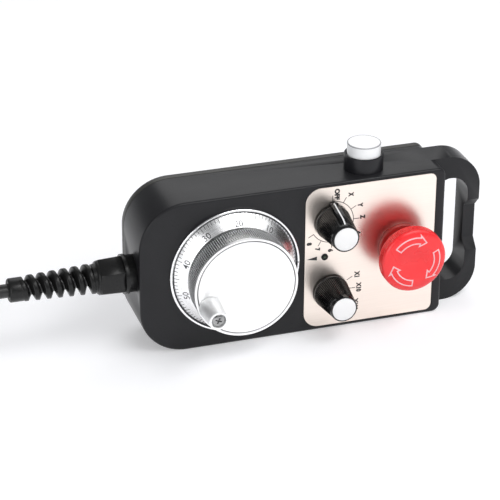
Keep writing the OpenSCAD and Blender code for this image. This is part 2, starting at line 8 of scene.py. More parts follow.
import json
import logging
import math
from dataclasses import dataclass, field
from enum import Enum
from typing import Callable, Iterable, Sequence

import bmesh
import bpy
from mathutils import Matrix, Vector

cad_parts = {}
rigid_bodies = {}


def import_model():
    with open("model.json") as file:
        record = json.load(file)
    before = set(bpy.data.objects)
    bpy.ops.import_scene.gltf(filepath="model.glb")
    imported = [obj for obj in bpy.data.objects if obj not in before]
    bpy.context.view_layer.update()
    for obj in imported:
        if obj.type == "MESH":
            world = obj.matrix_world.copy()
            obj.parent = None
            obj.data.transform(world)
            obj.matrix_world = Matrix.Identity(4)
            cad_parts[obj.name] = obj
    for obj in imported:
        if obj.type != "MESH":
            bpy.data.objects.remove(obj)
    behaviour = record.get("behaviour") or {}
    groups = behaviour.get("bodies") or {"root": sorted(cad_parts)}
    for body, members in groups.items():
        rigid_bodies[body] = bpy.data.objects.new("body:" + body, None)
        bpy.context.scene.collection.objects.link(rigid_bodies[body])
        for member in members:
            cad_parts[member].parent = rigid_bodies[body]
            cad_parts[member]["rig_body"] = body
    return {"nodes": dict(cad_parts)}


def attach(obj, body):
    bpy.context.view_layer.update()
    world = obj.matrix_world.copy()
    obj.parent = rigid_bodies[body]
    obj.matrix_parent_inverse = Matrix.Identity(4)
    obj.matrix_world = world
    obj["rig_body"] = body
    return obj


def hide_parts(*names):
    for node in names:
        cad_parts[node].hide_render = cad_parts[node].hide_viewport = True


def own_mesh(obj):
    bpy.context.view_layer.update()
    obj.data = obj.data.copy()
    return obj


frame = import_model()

LOG = logging.getLogger("pendant")
MM = 0.001
CORNER = Vector((-71.0, 0.55, 0.0))
HOUSING_TOP = 96.0
Pair = tuple[float, float]
Colour = tuple[float, float, float]
Point = tuple[float, float, float]
Shape = bmesh.types.BMesh
Tree = bpy.types.NodeTree
Node = bpy.types.Node
Socket = bpy.types.NodeSocket


# ---------------------------------------------------------------- places

def from_corner(local: Matrix) -> Matrix:
    """Turns a place measured from the housing's corner into one in the part's frame.

    Args:
        local: the place, in millimetres from the housing's lower corner at the cable end.

    Returns:
        The same place in metres, in the part's frame.
    """
    return Matrix.Scale(MM, 4) @ Matrix.Translation(CORNER) @ local


def on_face(x: float, z: float, turned: float = 0.0) -> Matrix:
    """A place on the face, with its Z out of the face and its Y up.

    Args:
        x: distance from the cable end.
        z: height above the surface the pendant stands on.
        turned: turn about the outward axis, in degrees, anticlockwise.

    Returns:
        The place in the part's frame.
    """
    return from_corner(Matrix.Translation((x, 0, z)) @ Matrix.Rotation(math.radians(90), 4, "X")
                       @ Matrix.Rotation(math.radians(turned), 4, "Z"))


def on_top(x: float, y: float) -> Matrix:
    """A place on the top side, with its Z up."""
    return from_corner(Matrix.Translation((x, y, HOUSING_TOP)))


def on_cable_end(y: float, z: float) -> Matrix:
    """A place on the cable end, with its Z out of the housing and its X up."""
    return from_corner(Matrix.Translation((0, y, z)) @ Matrix.Rotation(math.radians(-90), 4, "Y"))


# ---------------------------------------------------------------- shapes

def turned_shape(profile: Sequence[Pair], steps: int = 96, closed: bool = False) -> Shape:
    """Turns a profile round the local Z axis.

    Args:
        profile: (radius, height) points.
        steps: number of steps round the axis.
        closed: whether the last point joins the first, for a ring that never reaches the axis.

    Returns:
        The turned shape, with its faces pointing outwards.
    """
    bm = bmesh.new()
    points = [bm.verts.new((r, 0.0, z)) for r, z in profile]
    edges = [bm.edges.new(pair) for pair in zip(points, points[1:])]
    if closed:
        edges.append(bm.edges.new((points[-1], points[0])))
    bmesh.ops.spin(bm, geom=points + edges, cent=(0, 0, 0), axis=(0, 0, 1), angle=math.tau,
                   steps=steps, use_merge=True)
    bmesh.ops.remove_doubles(bm, verts=bm.verts[:], dist=1e-4)
    bmesh.ops.recalc_face_normals(bm, faces=bm.faces[:])
    return bm


def soften(bm: Shape, width: float, segments: int = 2, over: float = 30.0) -> Shape:
    """Rounds every edge that is sharper than an angle.

    Args:
        bm: the shape.
        width: width of the rounding.
        segments: number of facets across it.
        over: angle between faces, in degrees, past which an edge is rounded.

    Returns:
        The same shape.
    """
    sharp = [e for e in bm.edges if len(e.link_faces) == 2 and e.calc_face_angle(0.0) > math.radians(over)]
    if sharp:
        bmesh.ops.bevel(bm, geom=sharp, offset=width, offset_type="OFFSET", segments=segments, profile=0.5,
                        affect="EDGES", clamp_overlap=True, material=-1)
    return bm


def points_of(made: Sequence[object]) -> list[bmesh.types.BMVert]:
    """The points among what an operator made."""
    return [g for g in made if isinstance(g, bmesh.types.BMVert)]


def rise(bm: Shape, rim: Sequence[bmesh.types.BMEdge], height: float,
         scale: float = 1.0) -> list[bmesh.types.BMEdge]:
    """Pulls a rim of edges up along Z, and narrows or widens it.

    Args:
        bm: the shape.
        rim: the edges to pull.
        height: how far up.
        scale: how much wider the new rim is about the axis.

    Returns:
        The new rim.
    """
    made = bmesh.ops.extrude_edge_only(bm, edges=list(rim))["geom"]
    points = points_of(made)
    bmesh.ops.scale(bm, vec=(scale, scale, 1), verts=points)
    bmesh.ops.translate(bm, vec=(0, 0, height), verts=points)
    on_new = set(points)
    return [g for g in made
            if isinstance(g, bmesh.types.BMEdge) and g.verts[0] in on_new and g.verts[1] in on_new]


def ribbed_sleeve(count: int, tip: float, root: float, low: float, high: float, taper: float = 1.0,
                  lead_in: float = 0.3, per_rib: int = 4) -> Shape:
    """A closed sleeve with rounded ribs along its axis.

    Args:
        count: number of ribs.
        tip: radius over the ribs at the low end.
        root: radius between the ribs at the low end.
        low: height of the low end.
        high: height of the high end.
        taper: radius at the high end as a share of that at the low end.
        lead_in: length of the chamfer at both ends.
        per_rib: points across each rib.

    Returns:
        The sleeve.
    """
    bm = bmesh.new()
    bmesh.ops.create_circle(bm, cap_ends=False, segments=count * per_rib, radius=1.0)
    for point in bm.verts:
        phase = math.atan2(point.co.y, point.co.x) * count
        bump = max(0.0, 0.5 + 0.62 * math.cos(phase)) ** 0.7
        point.co *= root + (tip - root) * min(1.0, bump)
    bmesh.ops.translate(bm, vec=(0, 0, low), verts=bm.verts[:])
    inward = (root - lead_in) / tip
    rim = bm.edges[:]
    bmesh.ops.scale(bm, vec=(inward, inward, 1), verts=bm.verts[:])
    rim = rise(bm, rim, lead_in, 1 / inward)
    rim = rise(bm, rim, high - low - 2 * lead_in, taper)
    rise(bm, rim, lead_in, inward)
    bmesh.ops.holes_fill(bm, edges=bm.edges[:], sides=0)
    bmesh.ops.recalc_face_normals(bm, faces=bm.faces[:])
    return bm


def prism(outline: Sequence[Pair], low: float, high: float) -> Shape:
    """Pulls a flat outline into a block.

    Args:
        outline: corners in the local XY plane.
        low: height of its base.
        high: height of its top.

    Returns:
        The block.
    """
    bm = bmesh.new()
    base = bm.faces.new([bm.verts.new((x, y, low)) for x, y in outline])
    top = bmesh.ops.extrude_face_region(bm, geom=[base])["geom"]
    bmesh.ops.translate(bm, vec=(0, 0, high - low), verts=points_of(top))
    bmesh.ops.recalc_face_normals(bm, faces=bm.faces[:])
    return bm


def arc_strip(radius: float, width: float, start: float, end: float, step: float = 3.0) -> Shape:
    """A flat strip along an arc about the local Z axis.

    Args:
        radius: radius at the middle of the strip.
        width: width of the strip.
        start: angle of its start, in degrees anticlockwise from local X.
        end: angle of its end.
        step: largest angle between its points.

    Returns:
        The strip.
    """
    bm = bmesh.new()
    ends = [bm.verts.new((radius - width / 2, 0, 0)), bm.verts.new((radius + width / 2, 0, 0))]
    edge = bm.edges.new(ends)
    bmesh.ops.rotate(bm, verts=ends, cent=(0, 0, 0), matrix=Matrix.Rotation(math.radians(start), 3, "Z"))
    bmesh.ops.spin(bm, geom=ends + [edge], cent=(0, 0, 0), axis=(0, 0, 1), angle=math.radians(end - start),
                   steps=max(1, round(abs(end - start) / step)))
    return bm


def bar(start: Pair, end: Pair, width: float) -> Shape:
    """A flat straight strip from one point to another, in the local XY plane.

    Args:
        start: middle of its first end.
        end: middle of its other end.
        width: width of the strip.

    Returns:
        The strip.
    """
    bm = bmesh.new()
    run = Vector(end) - Vector(start)
    bmesh.ops.create_grid(bm, x_segments=1, y_segments=1, size=0.5)
    bmesh.ops.scale(bm, vec=(run.length, width, 1), verts=bm.verts[:])
    bmesh.ops.rotate(bm, verts=bm.verts[:], cent=(0, 0, 0),
                     matrix=Matrix.Rotation(math.atan2(run.y, run.x), 3, "Z"))
    middle = (Vector(start) + Vector(end)) / 2
    bmesh.ops.translate(bm, vec=(middle.x, middle.y, 0), verts=bm.verts[:])
    return bm


def pierce(bm: Shape, ends: list[bmesh.types.BMFace], wall: float) -> None:
    """Makes a block hollow right through, from one end to the other.

    Args:
        bm: the block.
        ends: its two end faces.
        wall: thickness of the wall that stays.
    """
    bmesh.ops.inset_region(bm, faces=ends, thickness=wall, depth=0, use_even_offset=True)
    bmesh.ops.bridge_loops(bm, edges=[e for f in ends for e in f.edges])
    bmesh.ops.delete(bm, geom=ends, context="FACES_ONLY")
    bmesh.ops.recalc_face_normals(bm, faces=bm.faces[:])


def thicken(bm: Shape, thickness: float) -> Shape:
    """Gives a flat print its thickness, upwards along Z.

    Args:
        bm: the flat print.
        thickness: how thick the ink lies.

    Returns:
        The same print as a closed shape.
    """
    raised = bmesh.ops.extrude_face_region(bm, geom=bm.faces[:])["geom"]
    bmesh.ops.translate(bm, vec=(0, 0, thickness), verts=points_of(raised))
    bmesh.ops.recalc_face_normals(bm, faces=bm.faces[:])
    return bm


def print_of(words: str, height: float, length: float | None = None, weight: float = 0.0) -> Shape:
    """A flat print of a short word or number, centred on the local axis.

    Args:
        words: the word or number.
        height: height of its capitals.
        length: length of the whole print; as the type falls when none.
        weight: how much bolder than regular.

    Returns:
        The print as flat faces.
    """
    curve = bpy.data.curves.new("print", "FONT")
    curve.body = words
    curve.offset = weight
    curve.resolution_u = 4
    holder = bpy.data.objects.new("print", curve)
    bpy.context.scene.collection.objects.link(holder)
    depsgraph = bpy.context.evaluated_depsgraph_get()
    mesh = bpy.data.meshes.new_from_object(holder.evaluated_get(depsgraph))
    bm = bmesh.new()
    bm.from_mesh(mesh)
    bpy.data.objects.remove(holder)
    bpy.data.curves.remove(curve)
    bpy.data.meshes.remove(mesh)
    bmesh.ops.remove_doubles(bm, verts=bm.verts[:], dist=1e-5)
    low = [min(v.co[i] for v in bm.verts) for i in range(2)]
    high = [max(v.co[i] for v in bm.verts) for i in range(2)]
    tall = height / (high[1] - low[1])
    wide = tall if length is None else length / (high[0] - low[0])
    bmesh.ops.translate(bm, vec=(-(low[0] + high[0]) / 2, -(low[1] + high[1]) / 2, 0), verts=bm.verts[:])
    bmesh.ops.scale(bm, vec=(wide, tall, 1), verts=bm.verts[:])
    return bm


def join(parts: Iterable[Shape]) -> Shape:
    """Puts several shapes into one.

    Args:
        parts: the shapes, which are used up.

    Returns:
        One shape that holds them all.
    """
    whole = bmesh.new()
    for part in parts:
        mesh = bpy.data.meshes.new("part")
        part.to_mesh(mesh)
        part.free()
        whole.from_mesh(mesh)
        bpy.data.meshes.remove(mesh)
    return whole


def moved(bm: Shape, by: Matrix) -> Shape:
    """Moves or turns a shape and returns it."""
    bm.transform(by)
    return bm


# ---------------------------------------------------------------- shader nodes

def add_node(tree: Tree, kind: str, feeds: dict[str | int, Socket] | None = None,
             operation: str | None = None, **values: float | Point) -> Node:
    """Adds a node, sets its inputs and links what feeds them.

    Args:
        tree: the node tree.
        kind: the node's type, without its prefix.
        feeds: input name or number to the socket that feeds it.
        operation: what a math node does.
        values: input name, with _ for a space, to its value.

    Returns:
        The node.
    """
    made = tree.nodes.new(f"ShaderNode{kind}")
    if operation is not None:
        made.operation = operation
    for name, value in values.items():
        made.inputs[name.replace("_", " ")].default_value = value
    for into, out in (feeds or {}).items():
        tree.links.new(out, made.inputs[into])
    return made


def times(tree: Tree, one: Socket, other: Socket | float) -> Socket:
    """The product of a socket and another socket or a number.

    Args:
        tree: the node tree.
        one: the first factor.
        other: the second factor.

    Returns:
        The product's socket.
    """
    product = add_node(tree, "Math", {0: one}, "MULTIPLY")
    if isinstance(other, float):
        product.inputs[1].default_value = other
    else:
        tree.links.new(other, product.inputs[1])
    return product.outputs["Value"]


def mixed(tree: Tree, mask: Socket, low: Socket | Colour, high: Colour) -> Socket:
    """A colour between two, by a mask.

    Args:
        tree: the node tree.
        mask: where it is 0 and 1.
        low: the colour at 0, or the socket that gives it.
        high: the colour at 1.

    Returns:
        The colour's socket.
    """
    mix = tree.nodes.new("ShaderNodeMix")
    mix.data_type = "RGBA"
    if isinstance(low, tuple):
        mix.inputs["A"].default_value = (*low, 1.0)
    else:
        tree.links.new(low, mix.inputs["A"])
    mix.inputs["B"].default_value = (*high, 1.0)
    tree.links.new(mask, mix.inputs["Factor"])
    return mix.outputs["Result"]


class Effect(Enum):
    """The surface effects that several finishes share, each a node group."""

    MOULD_GRAIN = "mould_grain"
    LATHE_LINES = "lathe_lines"
    BRUSHED_LINES = "brushed_lines"
    SETTLED_DUST = "settled_dust"


class EffectShop:
    """Builds each shared effect once and keeps it."""

    def __init__(self) -> None:
        """Starts with no effect built."""
        self._built: dict[Effect, Tree] = {}

    def get(self, effect: Effect) -> Tree:
        """The node group of an effect, built on its first use.

        Args:
            effect: which effect.

        Returns:
            Its node group.
        """
        if effect not in self._built:
            makers: dict[Effect, Callable[[Tree], None]] = {
                Effect.MOULD_GRAIN: self._mould_grain,
                Effect.LATHE_LINES: self._lathe_lines,
                Effect.BRUSHED_LINES: self._brushed_lines,
                Effect.SETTLED_DUST: self._settled_dust,
            }
            tree = bpy.data.node_groups.new(effect.value, "ShaderNodeTree")
            makers[effect](tree)
            self._built[effect] = tree
        return self._built[effect]

    @staticmethod
    def _sockets(tree: Tree, inputs: dict[str, float | None], outputs: Sequence[str]) -> tuple[Node, Node]:
        """Gives a group its sockets.

        Args:
            tree: the group.
            inputs: name to default of each input, which is a vector if it has none.
            outputs: names of the outputs, all values.

        Returns:
            The group's input and output nodes.
        """
        for name, default in inputs.items():
            kind = "NodeSocketVector" if default is None else "NodeSocketFloat"
            socket = tree.interface.new_socket(name, in_out="INPUT", socket_type=kind)
            if default is not None:
                socket.default_value = default
        for name in outputs:
            tree.interface.new_socket(name, in_out="OUTPUT", socket_type="NodeSocketFloat")
        return tree.nodes.new("NodeGroupInput"), tree.nodes.new("NodeGroupOutput")

    def _mould_grain(self, tree: Tree) -> None:
        """The spark-eroded grain of a mould, with a slow drift of tone and a few specks.

        Args:
            tree: the empty group.
        """
        given, result = self._sockets(tree, {"Grain": 2600.0, "Drift": 34.0}, ["Height", "Tone", "Speck"])
        place = add_node(tree, "TexCoord").outputs["Object"]
        for size, detail, out in (("Grain", 3.0, "Height"), ("Drift", 2.0, "Tone")):
            noise = add_node(tree, "TexNoise", {"Vector": place, "Scale": given.outputs[size]}, Detail=detail,
                             Roughness=0.6)
            tree.links.new(noise.outputs["Fac"], result.inputs[out])
        cells = add_node(tree, "TexVoronoi", {"Vector": place}, Scale=900.0)
        near = add_node(tree, "MapRange", {"Value": cells.outputs["Distance"]}, From_Min=0.02, From_Max=0.16,
                        To_Min=1.0, To_Max=0.0)
        tree.links.new(near.outputs["Result"], result.inputs["Speck"])

    def _lathe_lines(self, tree: Tree) -> None:
        """Fine rings left by a lathe about the local Z axis of the vector given.

        Args:
            tree: the empty group.
        """
        given, result = self._sockets(tree, {"Vector": None, "Pitch": 5200.0}, ["Height", "Tone"])
        split = add_node(tree, "SeparateXYZ", {"Vector": given.outputs["Vector"]})
        flat = add_node(tree, "CombineXYZ", {"X": split.outputs["X"], "Y": split.outputs["Y"]})
        reach = add_node(tree, "VectorMath", {0: flat.outputs["Vector"]}, "LENGTH")
        rings = add_node(tree, "CombineXYZ", {"X": reach.outputs["Value"], "Y": split.outputs["Z"]})
        for factor, out in ((1.0, "Height"), (0.06, "Tone")):
            noise = add_node(tree, "TexNoise", {"Scale": times(tree, given.outputs["Pitch"], factor),
                                                "Vector": rings.outputs["Vector"]}, Detail=2.0)
            tree.links.new(noise.outputs["Fac"], result.inputs[out])

    def _brushed_lines(self, tree: Tree) -> None:
        """Straight brush lines along the local X axis, and faint clouds.

        Args:
            tree: the empty group.
        """
        given, result = self._sockets(tree, {"Length": 40.0, "Fineness": 5000.0}, ["Height", "Tone"])
        place = add_node(tree, "TexCoord").outputs["Object"]
        split = add_node(tree, "SeparateXYZ", {"Vector": place})
        stretched = add_node(tree, "CombineXYZ", {
            axis: times(tree, split.outputs[axis], given.outputs[size])
            for axis, size in (("X", "Length"), ("Y", "Fineness"), ("Z", "Fineness"))}).outputs["Vector"]
        for vector, scale, detail, out in ((stretched, 1.0, 2.0, "Height"), (place, 26.0, 1.0, "Tone")):
            noise = add_node(tree, "TexNoise", {"Vector": vector}, Scale=scale, Detail=detail)
            tree.links.new(noise.outputs["Fac"], result.inputs[out])

    def _settled_dust(self, tree: Tree) -> None:
        """A thin veil of dust on what faces up, broken by noise.

        Args:
            tree: the empty group.
        """
        given, result = self._sockets(tree, {"Amount": 0.25}, ["Mask"])
        facing = add_node(tree, "NewGeometry")
        split = add_node(tree, "SeparateXYZ", {"Vector": facing.outputs["Normal"]})
        up = add_node(tree, "MapRange", {"Value": split.outputs["Z"]}, From_Min=0.3, From_Max=1.0)
        place = add_node(tree, "TexCoord")
        noise = add_node(tree, "TexNoise", {"Vector": place.outputs["Object"]}, Scale=120.0, Detail=5.0)
        veil = times(tree, up.outputs["Result"], noise.outputs["Fac"])
        tree.links.new(times(tree, veil, given.outputs["Amount"]), result.inputs["Mask"])


EFFECTS = EffectShop()


# ---------------------------------------------------------------- finishes

class Bench:
    """One material on the bench: its node tree, with short calls for what the finishes use."""

    def __init__(self, name: str) -> None:
        """Starts a material with its Principled shader.

        Args:
            name: the material's name.
        """
        self.material = bpy.data.materials.new(name)
        self.material.use_nodes = True
        self.tree = self.material.node_tree
        self.surface = self.tree.nodes["Principled BSDF"]

    def effect(self, effect: Effect, **values: float) -> Node:
        """Places a shared effect in this material.

        Args:
            effect: which effect.
            values: its inputs.

        Returns:
            The group node.
        """
        made = self.tree.nodes.new("ShaderNodeGroup")
        made.node_tree = EFFECTS.get(effect)
        for name, value in values.items():
            made.inputs[name].default_value = value
        return made

    def spread(self, value: Socket, low: float, high: float, start: float = 0.3, stop: float = 0.7) -> Socket:
        """Maps a noise value to a range.

        Args:
            value: the noise.
            low: the result at start.
            high: the result at stop.
            start: value that gives low.
            stop: value that gives high.

        Returns:
            The mapped value's socket.
        """
        return add_node(self.tree, "MapRange", {"Value": value}, From_Min=start, From_Max=stop, To_Min=low,
                        To_Max=high).outputs["Result"]

    def mottle(self, noise: Socket, one: Colour, other: Colour) -> Socket:
        """A colour that wanders between two with a noise.

        Args:
            noise: the noise.
            one: the colour where it is low.
            other: the colour where it is high.

        Returns:
            The colour's socket.
        """
        return mixed(self.tree, self.spread(noise, 0.0, 1.0), one, other)

    def link(self, out: Socket, into: str) -> None:
        """Feeds a socket to one of the surface's inputs."""
        self.tree.links.new(out, self.surface.inputs[into])

    def rough(self, noise: Socket, low: float, high: float) -> None:
        """Lets the surface's roughness wander between two values with a noise."""
        self.link(self.spread(noise, low, high), "Roughness")

    def bump(self, height: Socket, strength: float, depth: float) -> None:
        """Feeds a height to the surface's normal.

        Args:
            height: the height's socket.
            strength: share of the bump.
            depth: its depth in metres.
        """
        made = add_node(self.tree, "Bump", {"Height": height}, Strength=strength, Distance=depth)
        self.link(made.outputs["Normal"], "Normal")

    def fixed(self, **values: float) -> None:
        """Sets plain numbers on the shader's own sockets, with _ for a space."""
        for name, value in values.items():
            self.surface.inputs[name.replace("_", " ")].default_value = value


@dataclass(frozen=True)
class Finish:
    """A finish, made into a material on its first use."""

    name: str

    def material(self) -> bpy.types.Material:
        """The material of this finish, under a name that no plain material of the frame has.

        Returns:
            The material, built on its first use.
        """
        worked = f"{self.name}_finish"
        known = bpy.data.materials.get(worked)
        if known is not None:
            return known
        bench = Bench(worked)
        self.work(bench)
        return bench.material

    def work(self, bench: Bench) -> None:
        """Builds the finish's nodes.

        Args:
            bench: the material to work on.
        """
        raise NotImplementedError


@dataclass(frozen=True)
class MouldedPlastic(Finish):
    """Moulded plastic with a spark-eroded grain, a slow drift of tone and a little dust."""

    colour: Colour
    lighter: Colour
    rough: float = 0.5
    grain: float = 2600.0
    relief: float = 0.1
    dust: float = 0.01
    specular: float = 0.5
    dust_grey: Colour = (0.28, 0.28, 0.29)

    def work(self, bench: Bench) -> None:
        """Builds the finish's nodes.

        Args:
            bench: the material to work on.
        """
        grain = bench.effect(Effect.MOULD_GRAIN, Grain=self.grain)
        dust = bench.effect(Effect.SETTLED_DUST, Amount=self.dust)
        tone = bench.mottle(grain.outputs["Tone"], self.colour, self.lighter)
        bench.link(mixed(bench.tree, dust.outputs["Mask"], tone, self.dust_grey), "Base Color")
        bench.rough(grain.outputs["Height"], self.rough - 0.05, self.rough + 0.06)
        bench.bump(grain.outputs["Height"], self.relief, 0.00006)
        bench.fixed(Specular_IOR_Level=self.specular)


@dataclass(frozen=True)
class GlossPlastic(Finish):
    """Smooth moulded plastic, even in colour, with the faint waves of a polished mould."""

    colour: Colour
    deeper: Colour
    rough: float = 0.24
    coat: float = 0.0

    def work(self, bench: Bench) -> None:
        """Builds the finish's nodes.

        Args:
            bench: the material to work on.
        """
        grain = bench.effect(Effect.MOULD_GRAIN, Grain=420.0, Drift=60.0)
        bench.link(bench.mottle(grain.outputs["Tone"], self.colour, self.deeper), "Base Color")
        bench.rough(grain.outputs["Tone"], self.rough, self.rough + 0.06)
        bench.bump(grain.outputs["Height"], 0.12, 0.00005)
        bench.fixed(Coat_Weight=self.coat, Coat_Roughness=0.12)


@dataclass(frozen=True)
class TurnedMetal(Finish):
    """Metal with the fine rings of a lathe about an axis square to the face."""

    colour: Colour
    darker: Colour
    rough: float
    axis: Pair = (57.0, 49.0)
    pitch: float = 5200.0
    relief: float = 0.07

    def work(self, bench: Bench) -> None:
        """Builds the finish's nodes.

        Args:
            bench: the material to work on.
        """
        place = add_node(bench.tree, "TexCoord")
        centre = add_node(bench.tree, "Mapping", {"Vector": place.outputs["Object"]},
                          Location=((self.axis[0] + CORNER.x) * MM, CORNER.y * MM, self.axis[1] * MM),
                          Rotation=(math.radians(90), 0, 0))
        centre.vector_type = "TEXTURE"
        rings = bench.effect(Effect.LATHE_LINES, Pitch=self.pitch)
        bench.tree.links.new(centre.outputs["Vector"], rings.inputs["Vector"])
        bench.link(bench.mottle(rings.outputs["Tone"], self.colour, self.darker), "Base Color")
        bench.rough(rings.outputs["Height"], self.rough - 0.04, self.rough + 0.05)
        bench.bump(rings.outputs["Height"], self.relief, 0.00004)
        bench.fixed(Metallic=1.0)


@dataclass(frozen=True)
class BrushedSteel(Finish):
    """Sheet steel with fine straight brush lines and faint clouds of tone."""

    colour: Colour
    darker: Colour
    rough: float = 0.29
    length: float = 40.0
    relief: float = 0.008

    def work(self, bench: Bench) -> None:
        """Builds the finish's nodes.

        Args:
            bench: the material to work on.
        """
        lines = bench.effect(Effect.BRUSHED_LINES, Length=self.length)
        bench.link(bench.mottle(lines.outputs["Height"], self.colour, self.darker), "Base Color")
        bench.rough(lines.outputs["Tone"], self.rough - 0.02, self.rough + 0.03)
        bench.bump(lines.outputs["Height"], self.relief, 0.00002)
        bench.fixed(Metallic=1.0)


@dataclass(frozen=True)
class PlatedMetal(Finish):
    """Small plated or drawn metal parts, with a slight mottle."""

    colour: Colour
    duller: Colour
    rough: float

    def work(self, bench: Bench) -> None:
        """Builds the finish's nodes.

        Args:
            bench: the material to work on.
        """
        grain = bench.effect(Effect.MOULD_GRAIN, Grain=1800.0, Drift=220.0)
        bench.link(bench.mottle(grain.outputs["Tone"], self.colour, self.duller), "Base Color")
        bench.rough(grain.outputs["Tone"], self.rough, self.rough + 0.12)
        bench.bump(grain.outputs["Height"], 0.08, 0.00003)
        bench.fixed(Metallic=1.0)


@dataclass(frozen=True)
class Rubber(Finish):
    """Matt rubber or cable sheath, with a soft surface and pale rubbed specks."""

    colour: Colour
    rubbed: Colour
    rough: float
    relief: float
    speck_grey: Colour = (0.16, 0.16, 0.17)

    def work(self, bench: Bench) -> None:
        """Builds the finish's nodes.

        Args:
            bench: the material to work on.
        """
        grain = bench.effect(Effect.MOULD_GRAIN, Grain=1500.0, Drift=90.0)
        tone = bench.mottle(grain.outputs["Tone"], self.colour, self.rubbed)
        faint = bench.spread(grain.outputs["Speck"], 0.0, 0.12, 0.0, 1.0)
        bench.link(mixed(bench.tree, faint, tone, self.speck_grey), "Base Color")
        bench.rough(grain.outputs["Tone"], self.rough - 0.06, self.rough + 0.08)
        bench.bump(grain.outputs["Height"], self.relief, 0.00008)


@dataclass(frozen=True)
class CircuitBoard(Finish):
    """Glass-fibre board under green lacquer, with the tracks showing as a lighter grid."""

    colour: Colour
    tracks: Colour

    def work(self, bench: Bench) -> None:
        """Builds the finish's nodes.

        Args:
            bench: the material to work on.
        """
        place = add_node(bench.tree, "TexCoord")
        cells = add_node(bench.tree, "TexVoronoi", Scale=260.0)
        cells.distance = "MANHATTAN"
        bench.tree.links.new(place.outputs["Object"], cells.inputs["Vector"])
        mask = bench.spread(cells.outputs["Distance"], 0.0, 1.0, 0.45, 0.5)
        bench.link(mixed(bench.tree, mask, self.colour, self.tracks), "Base Color")
        bench.link(bench.spread(mask, 0.35, 0.5, 0.0, 1.0), "Roughness")
        bench.bump(mask, 0.2, 0.00003)


@dataclass(frozen=True)
class ClearPlastic(Finish):
    """Clear moulded plastic with the faintest waviness, and a grey painted as edge shade where it is seen
    along its surface.
    """

    tint: Colour
    deeper: Colour
    # grey painted where the surface is seen edge-on: painted edge shade
    along: Colour
    rough: float = 0.03
    clear: float = 0.1

    def work(self, bench: Bench) -> None:
        """Builds the finish's nodes.

        Args:
            bench: the material to work on.
        """
        grain = bench.effect(Effect.MOULD_GRAIN, Grain=300.0, Drift=120.0)
        tone = bench.mottle(grain.outputs["Tone"], self.tint, self.deeper)
        facing = add_node(bench.tree, "LayerWeight", Blend=0.5)
        # mask of the painted edge shade, growing as the surface turns edge-on
        edge = bench.spread(facing.outputs["Facing"], 0.0, 1.0, 0.86, 1.0)
        bench.link(mixed(bench.tree, edge, tone, self.along), "Base Color")
        bench.rough(grain.outputs["Tone"], self.rough, self.rough + 0.03)
        bench.bump(grain.outputs["Height"], 0.03, 0.00002)
        bench.fixed(Transmission_Weight=self.clear, IOR=1.49)


@dataclass(frozen=True)
class Ink(Finish):
    """Screen-printed or filled ink, slightly uneven in density."""

    colour: Colour
    thin: Colour
    rough: float

    def work(self, bench: Bench) -> None:
        """Builds the finish's nodes.

        Args:
            bench: the material to work on.
        """
        grain = bench.effect(Effect.MOULD_GRAIN, Grain=5200.0, Drift=500.0)
        bench.link(bench.mottle(grain.outputs["Tone"], self.colour, self.thin), "Base Color")
        bench.rough(grain.outputs["Height"], self.rough - 0.05, self.rough + 0.08)
        bench.bump(grain.outputs["Height"], 0.1, 0.00002)


HOUSING_PLASTIC = MouldedPlastic("housing_charcoal", (0.0125, 0.0125, 0.0140), (0.0160, 0.0160, 0.0178),
                                 rough=0.32, grain=2400.0, dust=0.02, specular=0.23)
COVER_PLASTIC = MouldedPlastic("cover_charcoal", (0.0330, 0.0325, 0.0295), (0.0390, 0.0382, 0.0350),
                               rough=0.38, grain=2400.0, relief=0.12, dust=0.02, specular=0.36)
GLAND_PLASTIC = MouldedPlastic("gland_nylon", (0.0085, 0.0085, 0.0085), (0.012, 0.012, 0.012),
                               rough=0.3, grain=1900.0, specular=0.26)
KNOB_PLASTIC = MouldedPlastic("selector_black", (0.0045, 0.0045, 0.0048), (0.0065, 0.0065, 0.0070),
                              rough=0.15, grain=3000.0, relief=0.02, dust=0.0)
BEZEL_PLASTIC = MouldedPlastic("button_bezel_black", (0.0090, 0.0090, 0.0110), (0.012, 0.012, 0.014),
                               rough=0.34, relief=0.08, specular=0.28)
COLLAR_PLASTIC = MouldedPlastic("stop_collar_black", (0.010, 0.010, 0.011), (0.015, 0.015, 0.016),
                                rough=0.38, specular=0.3)
INNER_PLASTIC = MouldedPlastic("inner_black", (0.016, 0.017, 0.019), (0.024, 0.025, 0.028), relief=0.2,
                               dust=0.0)
STRAP_PLASTIC = MouldedPlastic("strap_black", (0.01, 0.01, 0.011), (0.016, 0.016, 0.017), rough=0.38,
                               dust=0.0)
STOP_RED = GlossPlastic("stop_red", (0.92, 0.026, 0.031), (0.87, 0.021, 0.026), coat=0.05)
# dark red painted on the black stop collar: red light bounced from the head, in shade
COLLAR_PAINTED_RED_SHADE = GlossPlastic("stop_collar_painted_red_shade", (0.36, 0.012, 0.010), (0.30, 0.010, 0.008), rough=0.36)
STEM_RED = GlossPlastic("stop_stem_red", (0.52, 0.018, 0.024), (0.44, 0.014, 0.018), rough=0.34)
CAP_WHITE = GlossPlastic("cap_white", (0.90, 0.90, 0.895), (0.875, 0.875, 0.875), rough=0.34)
DIFFUSER_WHITE = GlossPlastic("diffuser_white", (0.91, 0.91, 0.90), (0.88, 0.88, 0.875), rough=0.45)
LAMP_DARK = GlossPlastic("lamp_dark", (0.05, 0.075, 0.05), (0.03, 0.05, 0.032), rough=0.12)
# the clear cap greys towards its edges as painted edge shade
BUTTON_CLEAR = ClearPlastic("button_clear", (0.97, 0.975, 0.98), (0.95, 0.955, 0.965),
                            along=(0.50, 0.52, 0.56))
